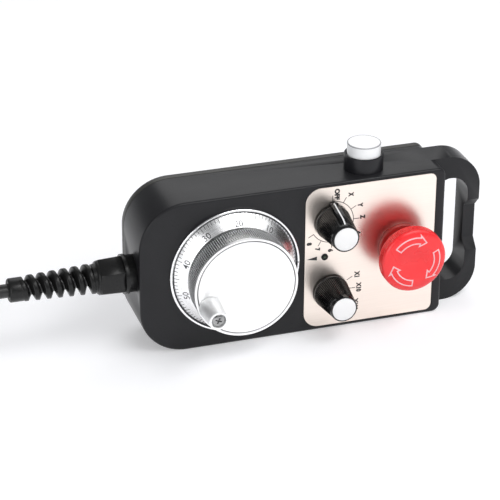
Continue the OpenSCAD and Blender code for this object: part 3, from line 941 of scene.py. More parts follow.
# grey painted on the clear cap's edge as painted edge shade
CAP_EDGE_SHADE = GlossPlastic("cap_rim", (0.34, 0.345, 0.355), (0.30, 0.305, 0.315), rough=0.1)
SEAL_RUBBER = Rubber("seal_rubber", (0.012, 0.012, 0.013), (0.03, 0.03, 0.032), rough=0.46, relief=0.2)
CABLE_SHEATH = Rubber("cable_sheath", (0.009, 0.009, 0.010), (0.018, 0.018, 0.019), rough=0.36, relief=0.1)
PLATE_STEEL = BrushedSteel("plate_steel", (0.815, 0.738, 0.672), (0.775, 0.698, 0.632))
BEZEL_SILVER = TurnedMetal("bezel_silver", (0.90, 0.90, 0.91), (0.84, 0.84, 0.86), rough=0.16)
DIAL_SILVER = TurnedMetal("dial_silver", (0.88, 0.88, 0.885), (0.82, 0.82, 0.83), rough=0.27)
KNOB_ALUMINIUM = TurnedMetal("knob_aluminium", (0.93, 0.93, 0.93), (0.89, 0.89, 0.89), rough=0.34)
# a darker copy of the knob's aluminium for its side, skirt and rib roots: painted shade
KNOB_SIDE_SHADED = TurnedMetal("knob_side", (0.47, 0.48, 0.47), (0.42, 0.43, 0.42), rough=0.24)
GRIP_SILVER = TurnedMetal("grip_silver", (0.97, 0.975, 0.975), (0.93, 0.935, 0.935), rough=0.58,
                          axis=(34.7476, 40.0094))
SCREW_STEEL = PlatedMetal("screw_steel", (0.62, 0.63, 0.65), (0.45, 0.46, 0.48), rough=0.3)
# steel darkened as painted shade for the crank screw deep in its counterbore
CRANK_SCREW_SHADED = PlatedMetal("crank_screw_shaded", (0.36, 0.36, 0.36), (0.24, 0.24, 0.24), rough=0.2)
# dark set-screw steel, also used for the rings painted as shade in the knob's groove and in the gap round the
# dial
DARK_SCREW_AND_SHADE = PlatedMetal("dark_screw_and_shade", (0.12, 0.12, 0.125), (0.07, 0.07, 0.075), rough=0.35)
SPRING_STEEL = PlatedMetal("spring_steel", (0.56, 0.57, 0.59), (0.4, 0.41, 0.43), rough=0.25)
BRASS = PlatedMetal("brass", (0.68, 0.5, 0.22), (0.5, 0.36, 0.15), rough=0.28)
PLUG_METAL = PlatedMetal("plug_nickel", (0.66, 0.66, 0.66), (0.52, 0.52, 0.53), rough=0.26)
BOARD_GREEN = CircuitBoard("board_green", (0.012, 0.11, 0.045), (0.03, 0.19, 0.08))
PLATE_INK = Ink("plate_ink", (0.012, 0.012, 0.012), (0.03, 0.03, 0.03), rough=0.55)
DIAL_INK = Ink("dial_ink", (0.035, 0.035, 0.038), (0.08, 0.08, 0.085), rough=0.5)
WHITE_INK = Ink("white_ink", (0.82, 0.82, 0.82), (0.76, 0.76, 0.76), rough=0.5)
ARROW_INK = Ink("arrow_ink", (0.92, 0.56, 0.58), (0.86, 0.46, 0.50), rough=0.45)


# ---------------------------------------------------------------- pieces

def make_piece(bm: Shape, name: str, place: Matrix, finish: Finish, body: str,
               replaces: Sequence[str] = (), smooth: float = 35.0) -> bpy.types.Object:
    """Turns a shape into a finished piece of the pendant.

    Args:
        bm: the shape, which is used up.
        name: the piece's name.
        place: where its local frame lies.
        finish: its finish.
        body: the moving body that it rides on.
        replaces: the frame's nodes that it stands for.
        smooth: angle between faces, in degrees, below which they shade as one surface.

    Returns:
        The piece's object.
    """
    bm.transform(place)
    mesh = bpy.data.meshes.new(name)
    bm.to_mesh(mesh)
    bm.free()
    mesh.polygons.foreach_set("use_smooth", [True] * len(mesh.polygons))
    mesh.set_sharp_from_angle(angle=math.radians(smooth))
    mesh.materials.append(finish.material())
    piece = bpy.data.objects.new(name, mesh)
    bpy.context.scene.collection.objects.link(piece)
    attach(piece, body)
    if replaces:
        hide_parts(*replaces)
    LOG.info("%s: %d faces, rides on %s", name, len(mesh.polygons), body)
    return piece


def refined_copy(node: str, name: str, finish: Finish, width: float = 0.0, segments: int = 2,
                 smooth: float = 35.0) -> bpy.types.Object:
    """A merged copy of a frame's node, with its sharp edges lightly rounded, that stands for the node.

    Args:
        node: the node.
        name: the copy's name.
        finish: the copy's finish.
        width: width of the rounding in millimetres, none if 0.
        segments: facets across the rounding.
        smooth: angle, in degrees, below which faces shade as one surface.

    Returns:
        The copy's object.
    """
    bm = bmesh.new()
    bm.from_mesh(frame["nodes"][node].data)
    for layers in (bm.loops.layers.float_vector, bm.loops.layers.uv):
        for layer in layers.values():
            layers.remove(layer)
    bmesh.ops.remove_doubles(bm, verts=bm.verts[:], dist=2e-6)
    bmesh.ops.dissolve_limit(bm, angle_limit=math.radians(0.4), use_dissolve_boundaries=False,
                             verts=bm.verts[:], edges=bm.edges[:], delimit=set())
    bmesh.ops.dissolve_degenerate(bm, dist=1e-6, edges=bm.edges[:])
    if width > 0:
        soften(bm, width * MM, segments, 38.0)
    body = frame["nodes"][node]["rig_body"]
    return make_piece(bm, name, Matrix.Identity(4), finish, body, (node,), smooth)


def dress_nodes(finishes: dict[str, Finish]) -> None:
    """Gives frame nodes that stay as they are their finish.

    Args:
        finishes: node name to finish.
    """
    for node, finish in finishes.items():
        mesh = frame["nodes"][node].data
        mesh.materials.clear()
        mesh.materials.append(finish.material())
        LOG.info("%s: dressed in %s", node, finish.name)


@dataclass
class Housing:
    """The front housing with its loop, the back cover, the seal and the cover's screws."""

    edge_width: float = 0.5
    cover_edge: float = 0.35

    def build(self) -> None:
        """Builds the visible mouldings and dresses the seal and screws."""
        refined_copy("front_housing", "front_housing_moulding", HOUSING_PLASTIC,
                     self.edge_width, 1)
        refined_copy("back_cover", "back_cover_moulding", COVER_PLASTIC, self.cover_edge)
        dress_nodes({"housing_seal": SEAL_RUBBER, "cover_screws": SCREW_STEEL})


@dataclass
class FacePlate:
    """The steel plate with the scales printed on it."""

    upper: Pair = (117.0, 71.0)
    lower: Pair = (117.0, 25.0)
    line: float = 0.42
    arc_radius: float = 13.2
    tick_end: float = 17.0
    lower_ticks: Pair = (11.8, 15.7)
    step: float = 30.0
    capital: float = 3.3
    letter_weight: float = 0.085
    word_weight: float = 0.066
    ink: float = 0.04
    upper_marks: dict[str, Point] = field(default_factory=lambda: {
        "OFF": (119.7, 88.5, 7.3), "X": (128.4, 87.3, 2.9), "Y": (134.3, 79.6, 2.9), "Z": (136.0, 71.6, 2.9),
        "4": (133.6, 61.6, 2.0), "5": (126.6, 54.6, 2.0), "6": (116.4, 52.3, 2.0), "7": (108.2, 54.2, 2.0),
        "8": (103.0, 58.4, 2.0)})
    lower_marks: dict[str, Point] = field(default_factory=lambda: {
        "X1": (133.6, 33.9, 4.1), "X10": (134.9, 25.0, 6.4), "X100": (133.2, 13.6, 8.2)})
    index: tuple[float, float, float, float] = (101.4, 108.0, 48.2, 1.25)

    def spoke(self, centre: Pair, angle: float, start: float, end: float) -> Shape:
        """A radial tick.

        Args:
            centre: the selector's axis.
            angle: its direction, in degrees clockwise from straight up.
            start: radius of its inner end.
            end: radius of its outer end.

        Returns:
            The flat tick.
        """
        way = Vector((math.sin(math.radians(angle)), math.cos(math.radians(angle))))
        middle = Vector(centre)
        return bar(tuple(middle + way * start), tuple(middle + way * end), self.line)

    def label(self, words: str, at: Point) -> Shape:
        """A label whose top points towards the loop handle.

        Args:
            words: its word or number.
            at: X and Z of its middle, and its length.

        Returns:
            The flat print.
        """
        weight = self.letter_weight if len(words) == 1 else self.word_weight
        bm = print_of(words, self.capital, at[2], weight)
        return moved(bm, Matrix.Translation((at[0], at[1], 0)) @ Matrix.Rotation(math.radians(-90), 4, "Z"))

    def prints(self) -> Shape:
        """All the ink on the plate.

        Returns:
            The print, lying on the plate's face.
        """
        parts = [moved(arc_strip(self.arc_radius, self.line, 90, -150), Matrix.Translation((*self.upper, 0)))]
        parts += [self.spoke(self.upper, self.step * i, self.arc_radius, self.tick_end) for i in range(9)]
        parts += [self.spoke(self.lower, self.step * i, *self.lower_ticks) for i in (2, 3, 4)]
        parts += [self.label(words, at) for words, at in {**self.upper_marks, **self.lower_marks}.items()]
        left, right, height, half = self.index
        arrow = bmesh.new()
        arrow.faces.new([arrow.verts.new((x, y, 0)) for x, y in
                         ((left, height), (right, height - half), (right, height + half))])
        parts.append(arrow)
        return moved(thicken(join(parts), self.ink), Matrix.Translation((0, 0, -self.ink / 4)))

    def build(self) -> None:
        """Builds the plate and its scales."""
        refined_copy("face_plate", "face_plate_sheet", PLATE_STEEL, 0.08, smooth=12.0)
        make_piece(self.prints(), "plate_scales", on_face(0, 0), PLATE_INK, "housing")


@dataclass
class Handwheel:
    """The pulse unit's bezel, the conical dial, the ribbed knob and the crank."""

    at: Pair = (57.0, 49.0)
    dial_edge: Pair = (37.88, 1.3)
    dial_crest: Pair = (30.6, 7.5)
    bezel_top: float = 2.4
    bezel_bore: float = 38.2
    bezel_rim: float = 39.5
    drum: Pair = (30.0, -22.0)
    # radii of the dark ring painted as shade in the gap round the dial
    bore_ring: Pair = (37.95, 38.18)
    index_width: float = 0.64
    divisions: int = 100
    zero_angle: float = 16.8
    short_tick: float = 2.9
    long_tick: float = 4.2
    tick_width: float = 0.34
    edge_line: float = 0.85
    digit: float = 3.8
    digit_middle: float = 7.05
    ink: float = 0.05
    ribs: int = 144
    rib_tip: float = 31.05
    rib_depth: float = 0.85
    rib_start: float = 10.45
    # radius and width of the dark ring painted as shade in the knob's groove
    groove: Pair = (29.37, 0.52)
    knob_top: float = 23.7
    crank_radius: float = 24.0
    crank_angle: float = 202.0
    grip_top: float = 41.6

    def on_cone(self, bm: Shape, angle: float, along: float) -> Shape:
        """Wraps a flat print round the conical dial, with its top outwards.

        Args:
            bm: the flat print, centred.
            angle: its direction, in degrees anticlockwise from the loop handle.
            along: distance of its middle from the dial's outer edge, down the cone's slope.

        Returns:
            The wrapped print.
        """
        edge, crest = Vector(self.dial_edge), Vector(self.dial_crest)
        slope = (crest - edge).normalized()
        normal = Vector((abs(slope.y), abs(slope.x)))
        middle = (edge + slope * along).x
        for point in bm.verts:
            here = edge + slope * (along - point.co.y) + normal * point.co.z
            turn = math.radians(angle) - point.co.x / middle
            point.co = (here.x * math.cos(turn), here.x * math.sin(turn), here.y)
        return bm

    def case(self) -> Shape:
        """The pulse unit's case: the bezel on the face and the drum behind it.

        Returns:
            The case, round the wheel's axis.
        """
        bore, rim, top = self.bezel_bore, self.bezel_rim, self.bezel_top
        drum, deep = self.drum
        profile = [(6, 0.6), (bore, 0.6), (bore, top), (rim - 0.4, top), (rim, top - 0.4), (rim, 1.4),
                   (rim - 0.5, 0), (drum, 0), (drum, deep), (drum - 2.2, deep), (drum - 2.2, -2.5),
                   (9, -2.5), (9, -10), (6, -10), (6, -6), (5.2, -6), (5.2, -3.6), (6, -3.6)]
        return soften(turned_shape(profile, 160, closed=True), 0.12, 2)

    def bore_floor(self) -> Shape:
        """A dark ring painted as shade in the deep gap between the bezel and the dial.

        Returns:
            The ring, round the wheel's axis.
        """
        inner, outer = self.bore_ring
        return turned_shape([(inner, 0.62), (outer, 0.62), (outer, 1.5), (outer - 0.08, 1.5),
                             (outer - 0.08, 0.7), (inner, 0.7)], 160, closed=True)

    def index_mark(self) -> Shape:
        """The mark on the bezel that the dial is read at.

        Returns:
            The mark, a little proud of the bezel.
        """
        mark = bar((self.bezel_bore + 0.05, 0), (self.bezel_rim - 0.45, 0), self.index_width)
        return moved(thicken(mark, 0.05), Matrix.Translation((0, 0, self.bezel_top - 0.03)))

    def dial(self) -> Shape:
        """The conical dial with its hidden flange.

        Returns:
            The dial.
        """
        edge, crest = self.dial_edge, self.dial_crest
        bm = turned_shape([(7.1, 0.9), (edge[0], 0.9), edge, crest, (27.6, crest[1]), (27.6, 2.4),
                           (7.1, 2.4)],
                          160, closed=True)
        return soften(bm, 0.12, 2)

    def scale(self) -> Shape:
        """The dial's ticks and numbers, and the line round its edge.

        Returns:
            The ink on the dial.
        """
        parts = []
        division, sunk = 360 / self.divisions, Matrix.Translation((0, 0, -self.ink / 3))
        for i in range(self.divisions):
            length = self.long_tick if i % 5 == 0 else self.short_tick
            tick = bar((0, -length / 2), (0, length / 2), self.tick_width)
            tick = moved(thicken(tick, self.ink), sunk)
            parts.append(self.on_cone(tick, self.zero_angle + division * i, 0.1 + length / 2))
        for i in range(0, self.divisions, 10):
            number = print_of(str(i), self.digit, None, 0.004)
            for cut in range(-6, 7):
                bmesh.ops.bisect_plane(number, geom=number.verts[:] + number.edges[:] + number.faces[:],
                                       dist=1e-5, plane_co=(0.5 * cut, 0, 0), plane_no=(1, 0, 0))
            number = moved(thicken(number, self.ink), sunk)
            parts.append(self.on_cone(number, self.zero_angle + division * i, self.digit_middle))
        edge, crest = Vector(self.dial_edge), Vector(self.dial_crest)
        inner = edge + (crest - edge).normalized() * self.edge_line
        out = Vector((-(crest - edge).y, (crest - edge).x)).normalized() * -self.ink
        parts.append(turned_shape([tuple(edge), tuple(edge + out), tuple(inner + out), tuple(inner)], 200,
                                  closed=True))
        return join(parts)

    def knob_side(self) -> Shape:
        """The turned knob below its rim: hub, plain skirt and the cylinder that the ribs stand on.

        Returns:
            The knob's side, round the wheel's axis.
        """
        top = self.knob_top
        body = turned_shape([(0, 1.0), (6.9, 1.0), (6.9, top - 4), (28.2, top - 4), (28.2, 7.5), (30.5, 7.5),
                             (30.62, 7.65), (30.62, top - 2.0), (0, top - 2.0)], 192)
        return soften(body, 0.1, 2, 50)

    def knob_face(self) -> Shape:
        """The bright front of the knob: its rim and its face, with a groove between.

        Returns:
            The knob's front, round the wheel's axis.
        """
        top = self.knob_top
        face = turned_shape([(0, top - 1.98), (30.1, top - 1.98), (31.2, top - 1.8), (31.2, top - 0.45),
                             (31.05, top - 0.13), (30.75, top), (29.72, top), (29.62, top - 0.6),
                             (29.12, top - 0.6), (29.03, top), (0, top)], 192)
        return soften(face, 0.08, 2, 50)

    def groove_floor(self) -> Shape:
        """A dark ring painted as shade on the floor of the groove in the knob's face.

        Returns:
            The painted shade, as a thin ring.
        """
        ring = thicken(arc_strip(*self.groove, 0, 360), 0.08)
        return moved(ring, Matrix.Translation((0, 0, self.knob_top - 0.59)))

    def grip(self) -> Shape:
        """The crank's turning grip with its counterbore.

        Returns:
            The grip, round the crank's axis.
        """
        base, top = self.knob_top + 0.3, self.grip_top
        profile = [(2.06, base), (6.4, base), (6.72, base + 0.25), (6.8, base + 0.7), (6.72, base + 2.2),
                   (6.3, base + 9.0), (5.85, top - 1.8), (5.76, top - 0.9), (5.5, top - 0.25), (5.05, top),
                   (4.6, top), (4.28, top - 0.3), (4.25, top - 3.0), (2.06, top - 3.0)]
        return soften(turned_shape(profile, 64, closed=True), 0.12, 2, 40)

    def crank_place(self) -> Matrix:
        """The crank's place on the knob, with its Z out of the face."""
        turn = math.radians(self.crank_angle)
        return on_face(self.at[0] + self.crank_radius * math.cos(turn),
                       self.at[1] + self.crank_radius * math.sin(turn))

    def build(self) -> None:
        """Builds the bezel, dial, knob and crank, and dresses the pulse unit inside."""
        place = on_face(*self.at)
        ribs = ribbed_sleeve(self.ribs, self.rib_tip, self.rib_tip - self.rib_depth, self.rib_start,
                             self.knob_top - 1.85, 1.0, 0.22, 6)
        for shape, name, finish, body, slot, stands_for in (
                (self.case(), "pulser_bezel", BEZEL_SILVER, "housing", "dial_silver", ("pulser_case",)),
                (self.dial(), "dial_cone", DIAL_SILVER, "wheel", "dial_silver", ("dial_disc",)),
                (self.scale(), "dial_scale", DIAL_INK, "wheel", "dial_silver", ()),
                # the knob's side takes a darker copy of its aluminium as painted shade
                (self.knob_side(), "knob_turned", KNOB_SIDE_SHADED, "wheel", "knob_aluminium", ("handwheel_knob",)),
                (self.knob_face(), "knob_front", KNOB_ALUMINIUM, "wheel", "knob_aluminium", ()),
                (ribs, "knob_ribs", KNOB_ALUMINIUM, "wheel", "knob_aluminium", ()),
                # a dark ring painted as shade in the groove of the knob's face
                (self.groove_floor(), "knob_groove_floor", DARK_SCREW_AND_SHADE, "wheel", "knob_aluminium", ()),
                # a dark ring painted as shade in the gap between the bezel and the dial
                (self.bore_floor(), "bezel_bore_floor", DARK_SCREW_AND_SHADE, "housing", "dial_silver", ()),
                (self.index_mark(), "bezel_index", PLATE_INK, "housing", "dial_silver", ())):
            make_piece(shape, name, place, finish, body, stands_for)
        make_piece(self.grip(), "crank_grip_turned", self.crank_place(), GRIP_SILVER, "grip",
                   ("crank_grip",))
        # the crank screw takes steel darkened as painted shade of its recess
        refined_copy("crank_spindle", "crank_screw", CRANK_SCREW_SHADED, 0.08)
        dress_nodes({"wheel_set_screw": DARK_SCREW_AND_SHADE, "pulser_studs": SCREW_STEEL, "pulser_nuts": SCREW_STEEL,
                     "shaft_bearings": BRASS, "click_spring": SPRING_STEEL, "sensor_board": BOARD_GREEN,
                     "pulser_cap": INNER_PLASTIC, "pulser_terminals": INNER_PLASTIC,
                     "pulser_shaft": SCREW_STEEL, "shaft_circlip": SPRING_STEEL, "click_wheel": BRASS,
                     "code_disc": SPRING_STEEL})


@dataclass
class Selector:
    """A rotary selector: ribbed tapering knob with a pointer rib, its cap and its switch."""

    label: str
    at: Pair
    angle: float
    body: str
    base: float = 10.8
    rim: float = 8.1
    top: float = 24.0
    ribs: int = 60
    cap: float = 7.25
    line: float = 0.85

    def knob(self) -> Shape:
        """The knob: barrel, ribs, rim and pointer.

        Returns:
            The knob, with its pointer along local Y.
        """
        top, base, rim = self.top, self.base, self.rim
        barrel = turned_shape([(3.05, 4.6), (3.05, 19.2), (0, 19.2), (0, top - 1.02),
                               (self.cap + 0.05, top - 1.02), (self.cap + 0.05, top - 0.1),
                               (self.cap + 0.2, top), (rim - 0.25, top), (rim, top - 0.3),
                               (rim + 0.3, top - 2.7), (rim - 0.1, top - 3.3), (base - 0.75, 2.7),
                               (base, 2.5), (base + 0.1, 1.8), (base - 0.05, 1.25), (8.7, 1.2), (8.7, 4.6)],
                              88, closed=True)
        ribs = ribbed_sleeve(self.ribs, base, base - 0.8, 1.7, top - 3.05, (rim + 0.3) / base, 0.3, 6)
        rib = moved(prism([(5, 1.2), (13, 1.2), (13.2, 1.7), (13.1, 3), (10.2, top - 5.5),
                           (rim + 0.2, top - 2.4), (5, top - 2.4)], -2.2, 2.2),
                    Matrix.Rotation(math.radians(90), 4, "Z") @ Matrix.Rotation(math.radians(90), 4, "X"))
        soften(rib, 0.35, 3)
        return join([barrel, ribs, rib])

    def pointer_line(self) -> Shape:
        """The white line along the pointer's crest.

        Returns:
            The line as a thin closed strip.
        """
        path = [(13.12, 2.6), (12.72, 4.9), (11.65, 10.6), (10.27, 18.0), (10.0, 18.8), (9.1, 20.2),
                (8.42, 21.3)]
        bm = bmesh.new()
        bmesh.ops.create_grid(bm, x_segments=1, y_segments=len(path) - 1, size=0.5)
        for point in bm.verts:
            radius, height = path[min(len(path) - 1, round((point.co.y + 0.5) * (len(path) - 1)))]
            point.co = (point.co.x * self.line, radius + 0.02, height)
        raised = bmesh.ops.extrude_face_region(bm, geom=bm.faces[:])["geom"]
        bmesh.ops.translate(bm, vec=(0, 0.05, 0.01), verts=points_of(raised))
        bmesh.ops.recalc_face_normals(bm, faces=bm.faces[:])
        return bm

    def lid(self) -> Shape:
        """The white cap let into the knob's end.

        Returns:
            The cap.
        """
        top = self.top
        return turned_shape([(0, top - 1), (self.cap, top - 1), (self.cap, top - 0.15),
                             (self.cap - 0.12, top + 0.05), (self.cap - 0.5, top + 0.2),
                             (self.cap * 0.5, top + 0.31), (0, top + 0.35)], 72)

    def build(self) -> None:
        """Builds the knob and cap, and dresses the switch under them."""
        place = on_face(*self.at, turned=-self.angle)
        make_piece(self.knob(), f"{self.label}_knob_moulding", place, KNOB_PLASTIC, self.body,
                   (f"{self.label}_knob",))
        make_piece(self.pointer_line(), f"{self.label}_pointer_line", place, WHITE_INK, self.body)
        make_piece(self.lid(), f"{self.label}_cap_moulding", place, CAP_WHITE, self.body,
                   (f"{self.label}_cap",))
        dress_nodes({f"{self.label}_switch": INNER_PLASTIC, f"{self.label}_shaft": SCREW_STEEL,
                     f"knob_set_screw_{self.label}": DARK_SCREW_AND_SHADE})


@dataclass
class EmergencyStop:
    """The mushroom head with its arrows, its stem, collar and contact block."""

    at: Pair = (161.0, 49.0)
    radius: float = 20.0
    crest: float = 23.2
    ribs: int = 120
    arrow_middles: tuple[float, ...] = (100.0, -18.0, -136.0)
    arrow_reach: float = 42.0
    arrow_band: Pair = (11.6, 16.0)
    arrow_barb: Pair = (9.5, 18.1)
    arrow_line: float = 0.75
    arrow_ink: float = 0.1

    def dish(self, radius: float) -> float:
        """Height of the head's front at a radius.

        Args:
            radius: distance from its axis.

        Returns:
            The height out of the face.
        """
        if radius < 12.0:
            return self.crest - 1.2 * (math.cos(math.pi * radius / 24.0)) ** 2
        return self.crest - 1.15 * ((radius - 12.0) / 6.5) ** 2

    def head(self) -> Shape:
        """The mushroom head: ribbed side, rounded brow, dished front and hollow underside.

        Returns:
            The head.
        """
        r = self.radius
        profile = [(0, 17.9), (8.15, 17.9), (8.15, 13), (12.4, 13), (12.4, 8.3), (14.2, 8.3), (14.2, 12.4),
                   (r - 0.9, 13.9), (r - 0.4, 14.5), (r - 0.4, 20.2), (r - 0.1, 20.5), (r - 0.15, 20.9),
                   (r - 0.5, 21.4), (r - 1.0, 21.75)]
        profile += [(radius / 2, self.dish(radius / 2)) for radius in range(37, -1, -2)]
        profile.append((0, self.dish(0)))
        body = turned_shape(profile, 128)
        sleeve = ribbed_sleeve(self.ribs, r - 0.02, r - 0.42, 14.75, 20.4, 1.0, 0.25)
        return join([body, sleeve])

    def arrow(self, middle: float) -> Shape:
        """The outline of one curved arrow, pointing clockwise, lying on the head's front.

        Args:
            middle: direction of its middle, in degrees anticlockwise.

        Returns:
            The outline.
        """
        tail, tip = middle + self.arrow_reach, middle - self.arrow_reach
        neck = tip + 21.0
        low, high = self.arrow_band
        steps = 12
        sweep = [tail + (neck - tail) * i / steps for i in range(steps + 1)]
        corners = [(angle, high) for angle in sweep] + [(neck + 1.5, self.arrow_barb[1])]
        corners += [(tip, (low + high) / 2)] + [(neck + 1.5, self.arrow_barb[0])]
        corners += [(angle, low) for angle in reversed(sweep)]
        bm = bmesh.new()
        outline = [bm.verts.new((r * math.cos(math.radians(a)), r * math.sin(math.radians(a)), 0))
                   for a, r in corners]
        face = bm.faces.new(outline)
        face.normal_update()
        bmesh.ops.inset_region(bm, faces=[face], thickness=self.arrow_line, depth=0.0,
                               use_even_offset=True, use_boundary=True)
        bmesh.ops.delete(bm, geom=[face], context="FACES_ONLY")
        bmesh.ops.subdivide_edges(bm, edges=[e for e in bm.edges if e.calc_length() > 1.4], cuts=3,
                                  use_grid_fill=True)
        thicken(bm, self.arrow_ink)
        for point in bm.verts:
            point.co.z += self.dish(math.hypot(point.co.x, point.co.y))
        return bm

    def build(self) -> None:
        """Builds the head, arrows, stem and collar, and dresses the contact block."""
        place = on_face(*self.at)
        make_piece(self.head(), "stop_head_moulding", place, STOP_RED, "stop_button",
                   ("stop_head",))
        make_piece(join([self.arrow(middle) for middle in self.arrow_middles]), "stop_arrows", place,
                   ARROW_INK, "stop_button")
        # the collar is painted dark red for the red light bounced from the head, in shade
        refined_copy("stop_collar", "stop_collar_moulding", COLLAR_PAINTED_RED_SHADE, 0.35)
        refined_copy("stop_plunger", "stop_stem_moulding", STEM_RED, 0.2)
        dress_nodes({"stop_nut": COLLAR_PLASTIC, "stop_contacts": INNER_PLASTIC, "stop_spring": SPRING_STEEL})


@dataclass
class PushButton:
    """The button on the top side: black bezel, clear cap and white diffuser."""

    at: Pair = (141.5, 15.5)
    bezel: float = 11.7
    bezel_height: float = 9.7
    cap: float = 10.05
    cap_top: float = 16.4
    spring_foot: float = 1.0
    spring_left: float = 0.4

    def ring(self) -> Shape:
        """The bezel with its barrel through the housing.

        Returns:
            The bezel.
        """
        r, top = self.bezel, self.bezel_height
        profile = [(5.8, -14), (7.9, -14), (7.9, 0), (r, 0), (r, top - 0.6), (r - 0.12, top - 0.2),
                   (r - 0.45, top), (10.75, top), (10.45, top - 0.25), (10.35, top - 0.8), (10.35, 1),
                   (5.8, 1)]
        return turned_shape(profile, 96, closed=True)

    def lens(self) -> Shape:
        """The clear cap, hollow from below.

        Returns:
            The cap.
        """
        r, top = self.cap, self.cap_top
        profile = [(8.65, 7.0), (r, 7.0), (r, top - 0.7), (r - 0.15, top - 0.28), (r - 0.5, top), (0, top),
                   (0, top - 1.4), (8.65, top - 1.4)]
        return turned_shape(profile, 96, closed=True)

    def cap_rim(self) -> Shape:
        """A grey ring painted on the clear cap's edge as the shade that its edge shows.

        Returns:
            The line, as a ring let into the cap's edge.
        """
        r, top = self.cap, self.cap_top
        return turned_shape([(r - 0.7, top + 0.03), (r - 0.2, top + 0.01), (r + 0.02, top - 0.25),
                             (r + 0.02, top - 0.5), (r - 0.3, top - 0.5), (r - 0.7, top - 0.3)], 96,
                             closed=True)

    def diffuser(self) -> Shape:
        """The white disc under the cap.

        Returns:
            The disc.
        """
        top = self.cap_top - 1.6
        return soften(turned_shape([(0, 7.02), (8.5, 7.02), (8.5, top), (0, top)], 72), 0.25, 2)

    def build(self) -> None:
        """Builds the bezel, cap and diffuser, and dresses the switch below."""
        place = on_top(*self.at)
        make_piece(self.ring(), "button_bezel_turned", place, BEZEL_PLASTIC, "housing",
                   ("button_bezel",))
        make_piece(self.lens(), "button_clear_cap", place, BUTTON_CLEAR, "push_button",
                   ("button_lens",))
        # a grey ring painted on the cap's edge as edge shade
        make_piece(self.cap_rim(), "button_cap_rim", place, CAP_EDGE_SHADE, "push_button")
        make_piece(self.diffuser(), "button_white_disc", place, DIFFUSER_WHITE, "push_button",
                   ("button_diffuser",))
        coil = refined_copy("button_spring", "button_spring_coil", SPRING_STEEL)
        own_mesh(coil)
        dress_nodes({"button_nut": SCREW_STEEL, "button_contacts": INNER_PLASTIC,
                     "button_plunger": DIFFUSER_WHITE})


@dataclass
class Lamp:
    """The small indicator lamp in its black ring."""

    at: Pair = (112.8, 48.5)

    def build(self) -> None:
        """Builds the ring and the lens."""
        place = on_face(*self.at)
        ring = turned_shape([(1.3, -6), (1.8, -6), (1.8, 0), (2.1, 0), (2.1, 0.35), (1.95, 0.5), (1.5, 0.5),
                             (1.3, 0.3)], 48, closed=True)
        make_piece(ring, "lamp_ring", place, COLLAR_PLASTIC, "housing", ("lamp_holder",))
        dome = turned_shape([(0, -6), (1.25, -6), (1.25, 0.0), (1.18, 0.42), (0.96, 0.80), (0.62, 1.08),
                             (0.3, 1.2), (0, 1.25)], 48)
        make_piece(dome, "lamp_dome", place, LAMP_DARK, "housing", ("lamp_lens",))


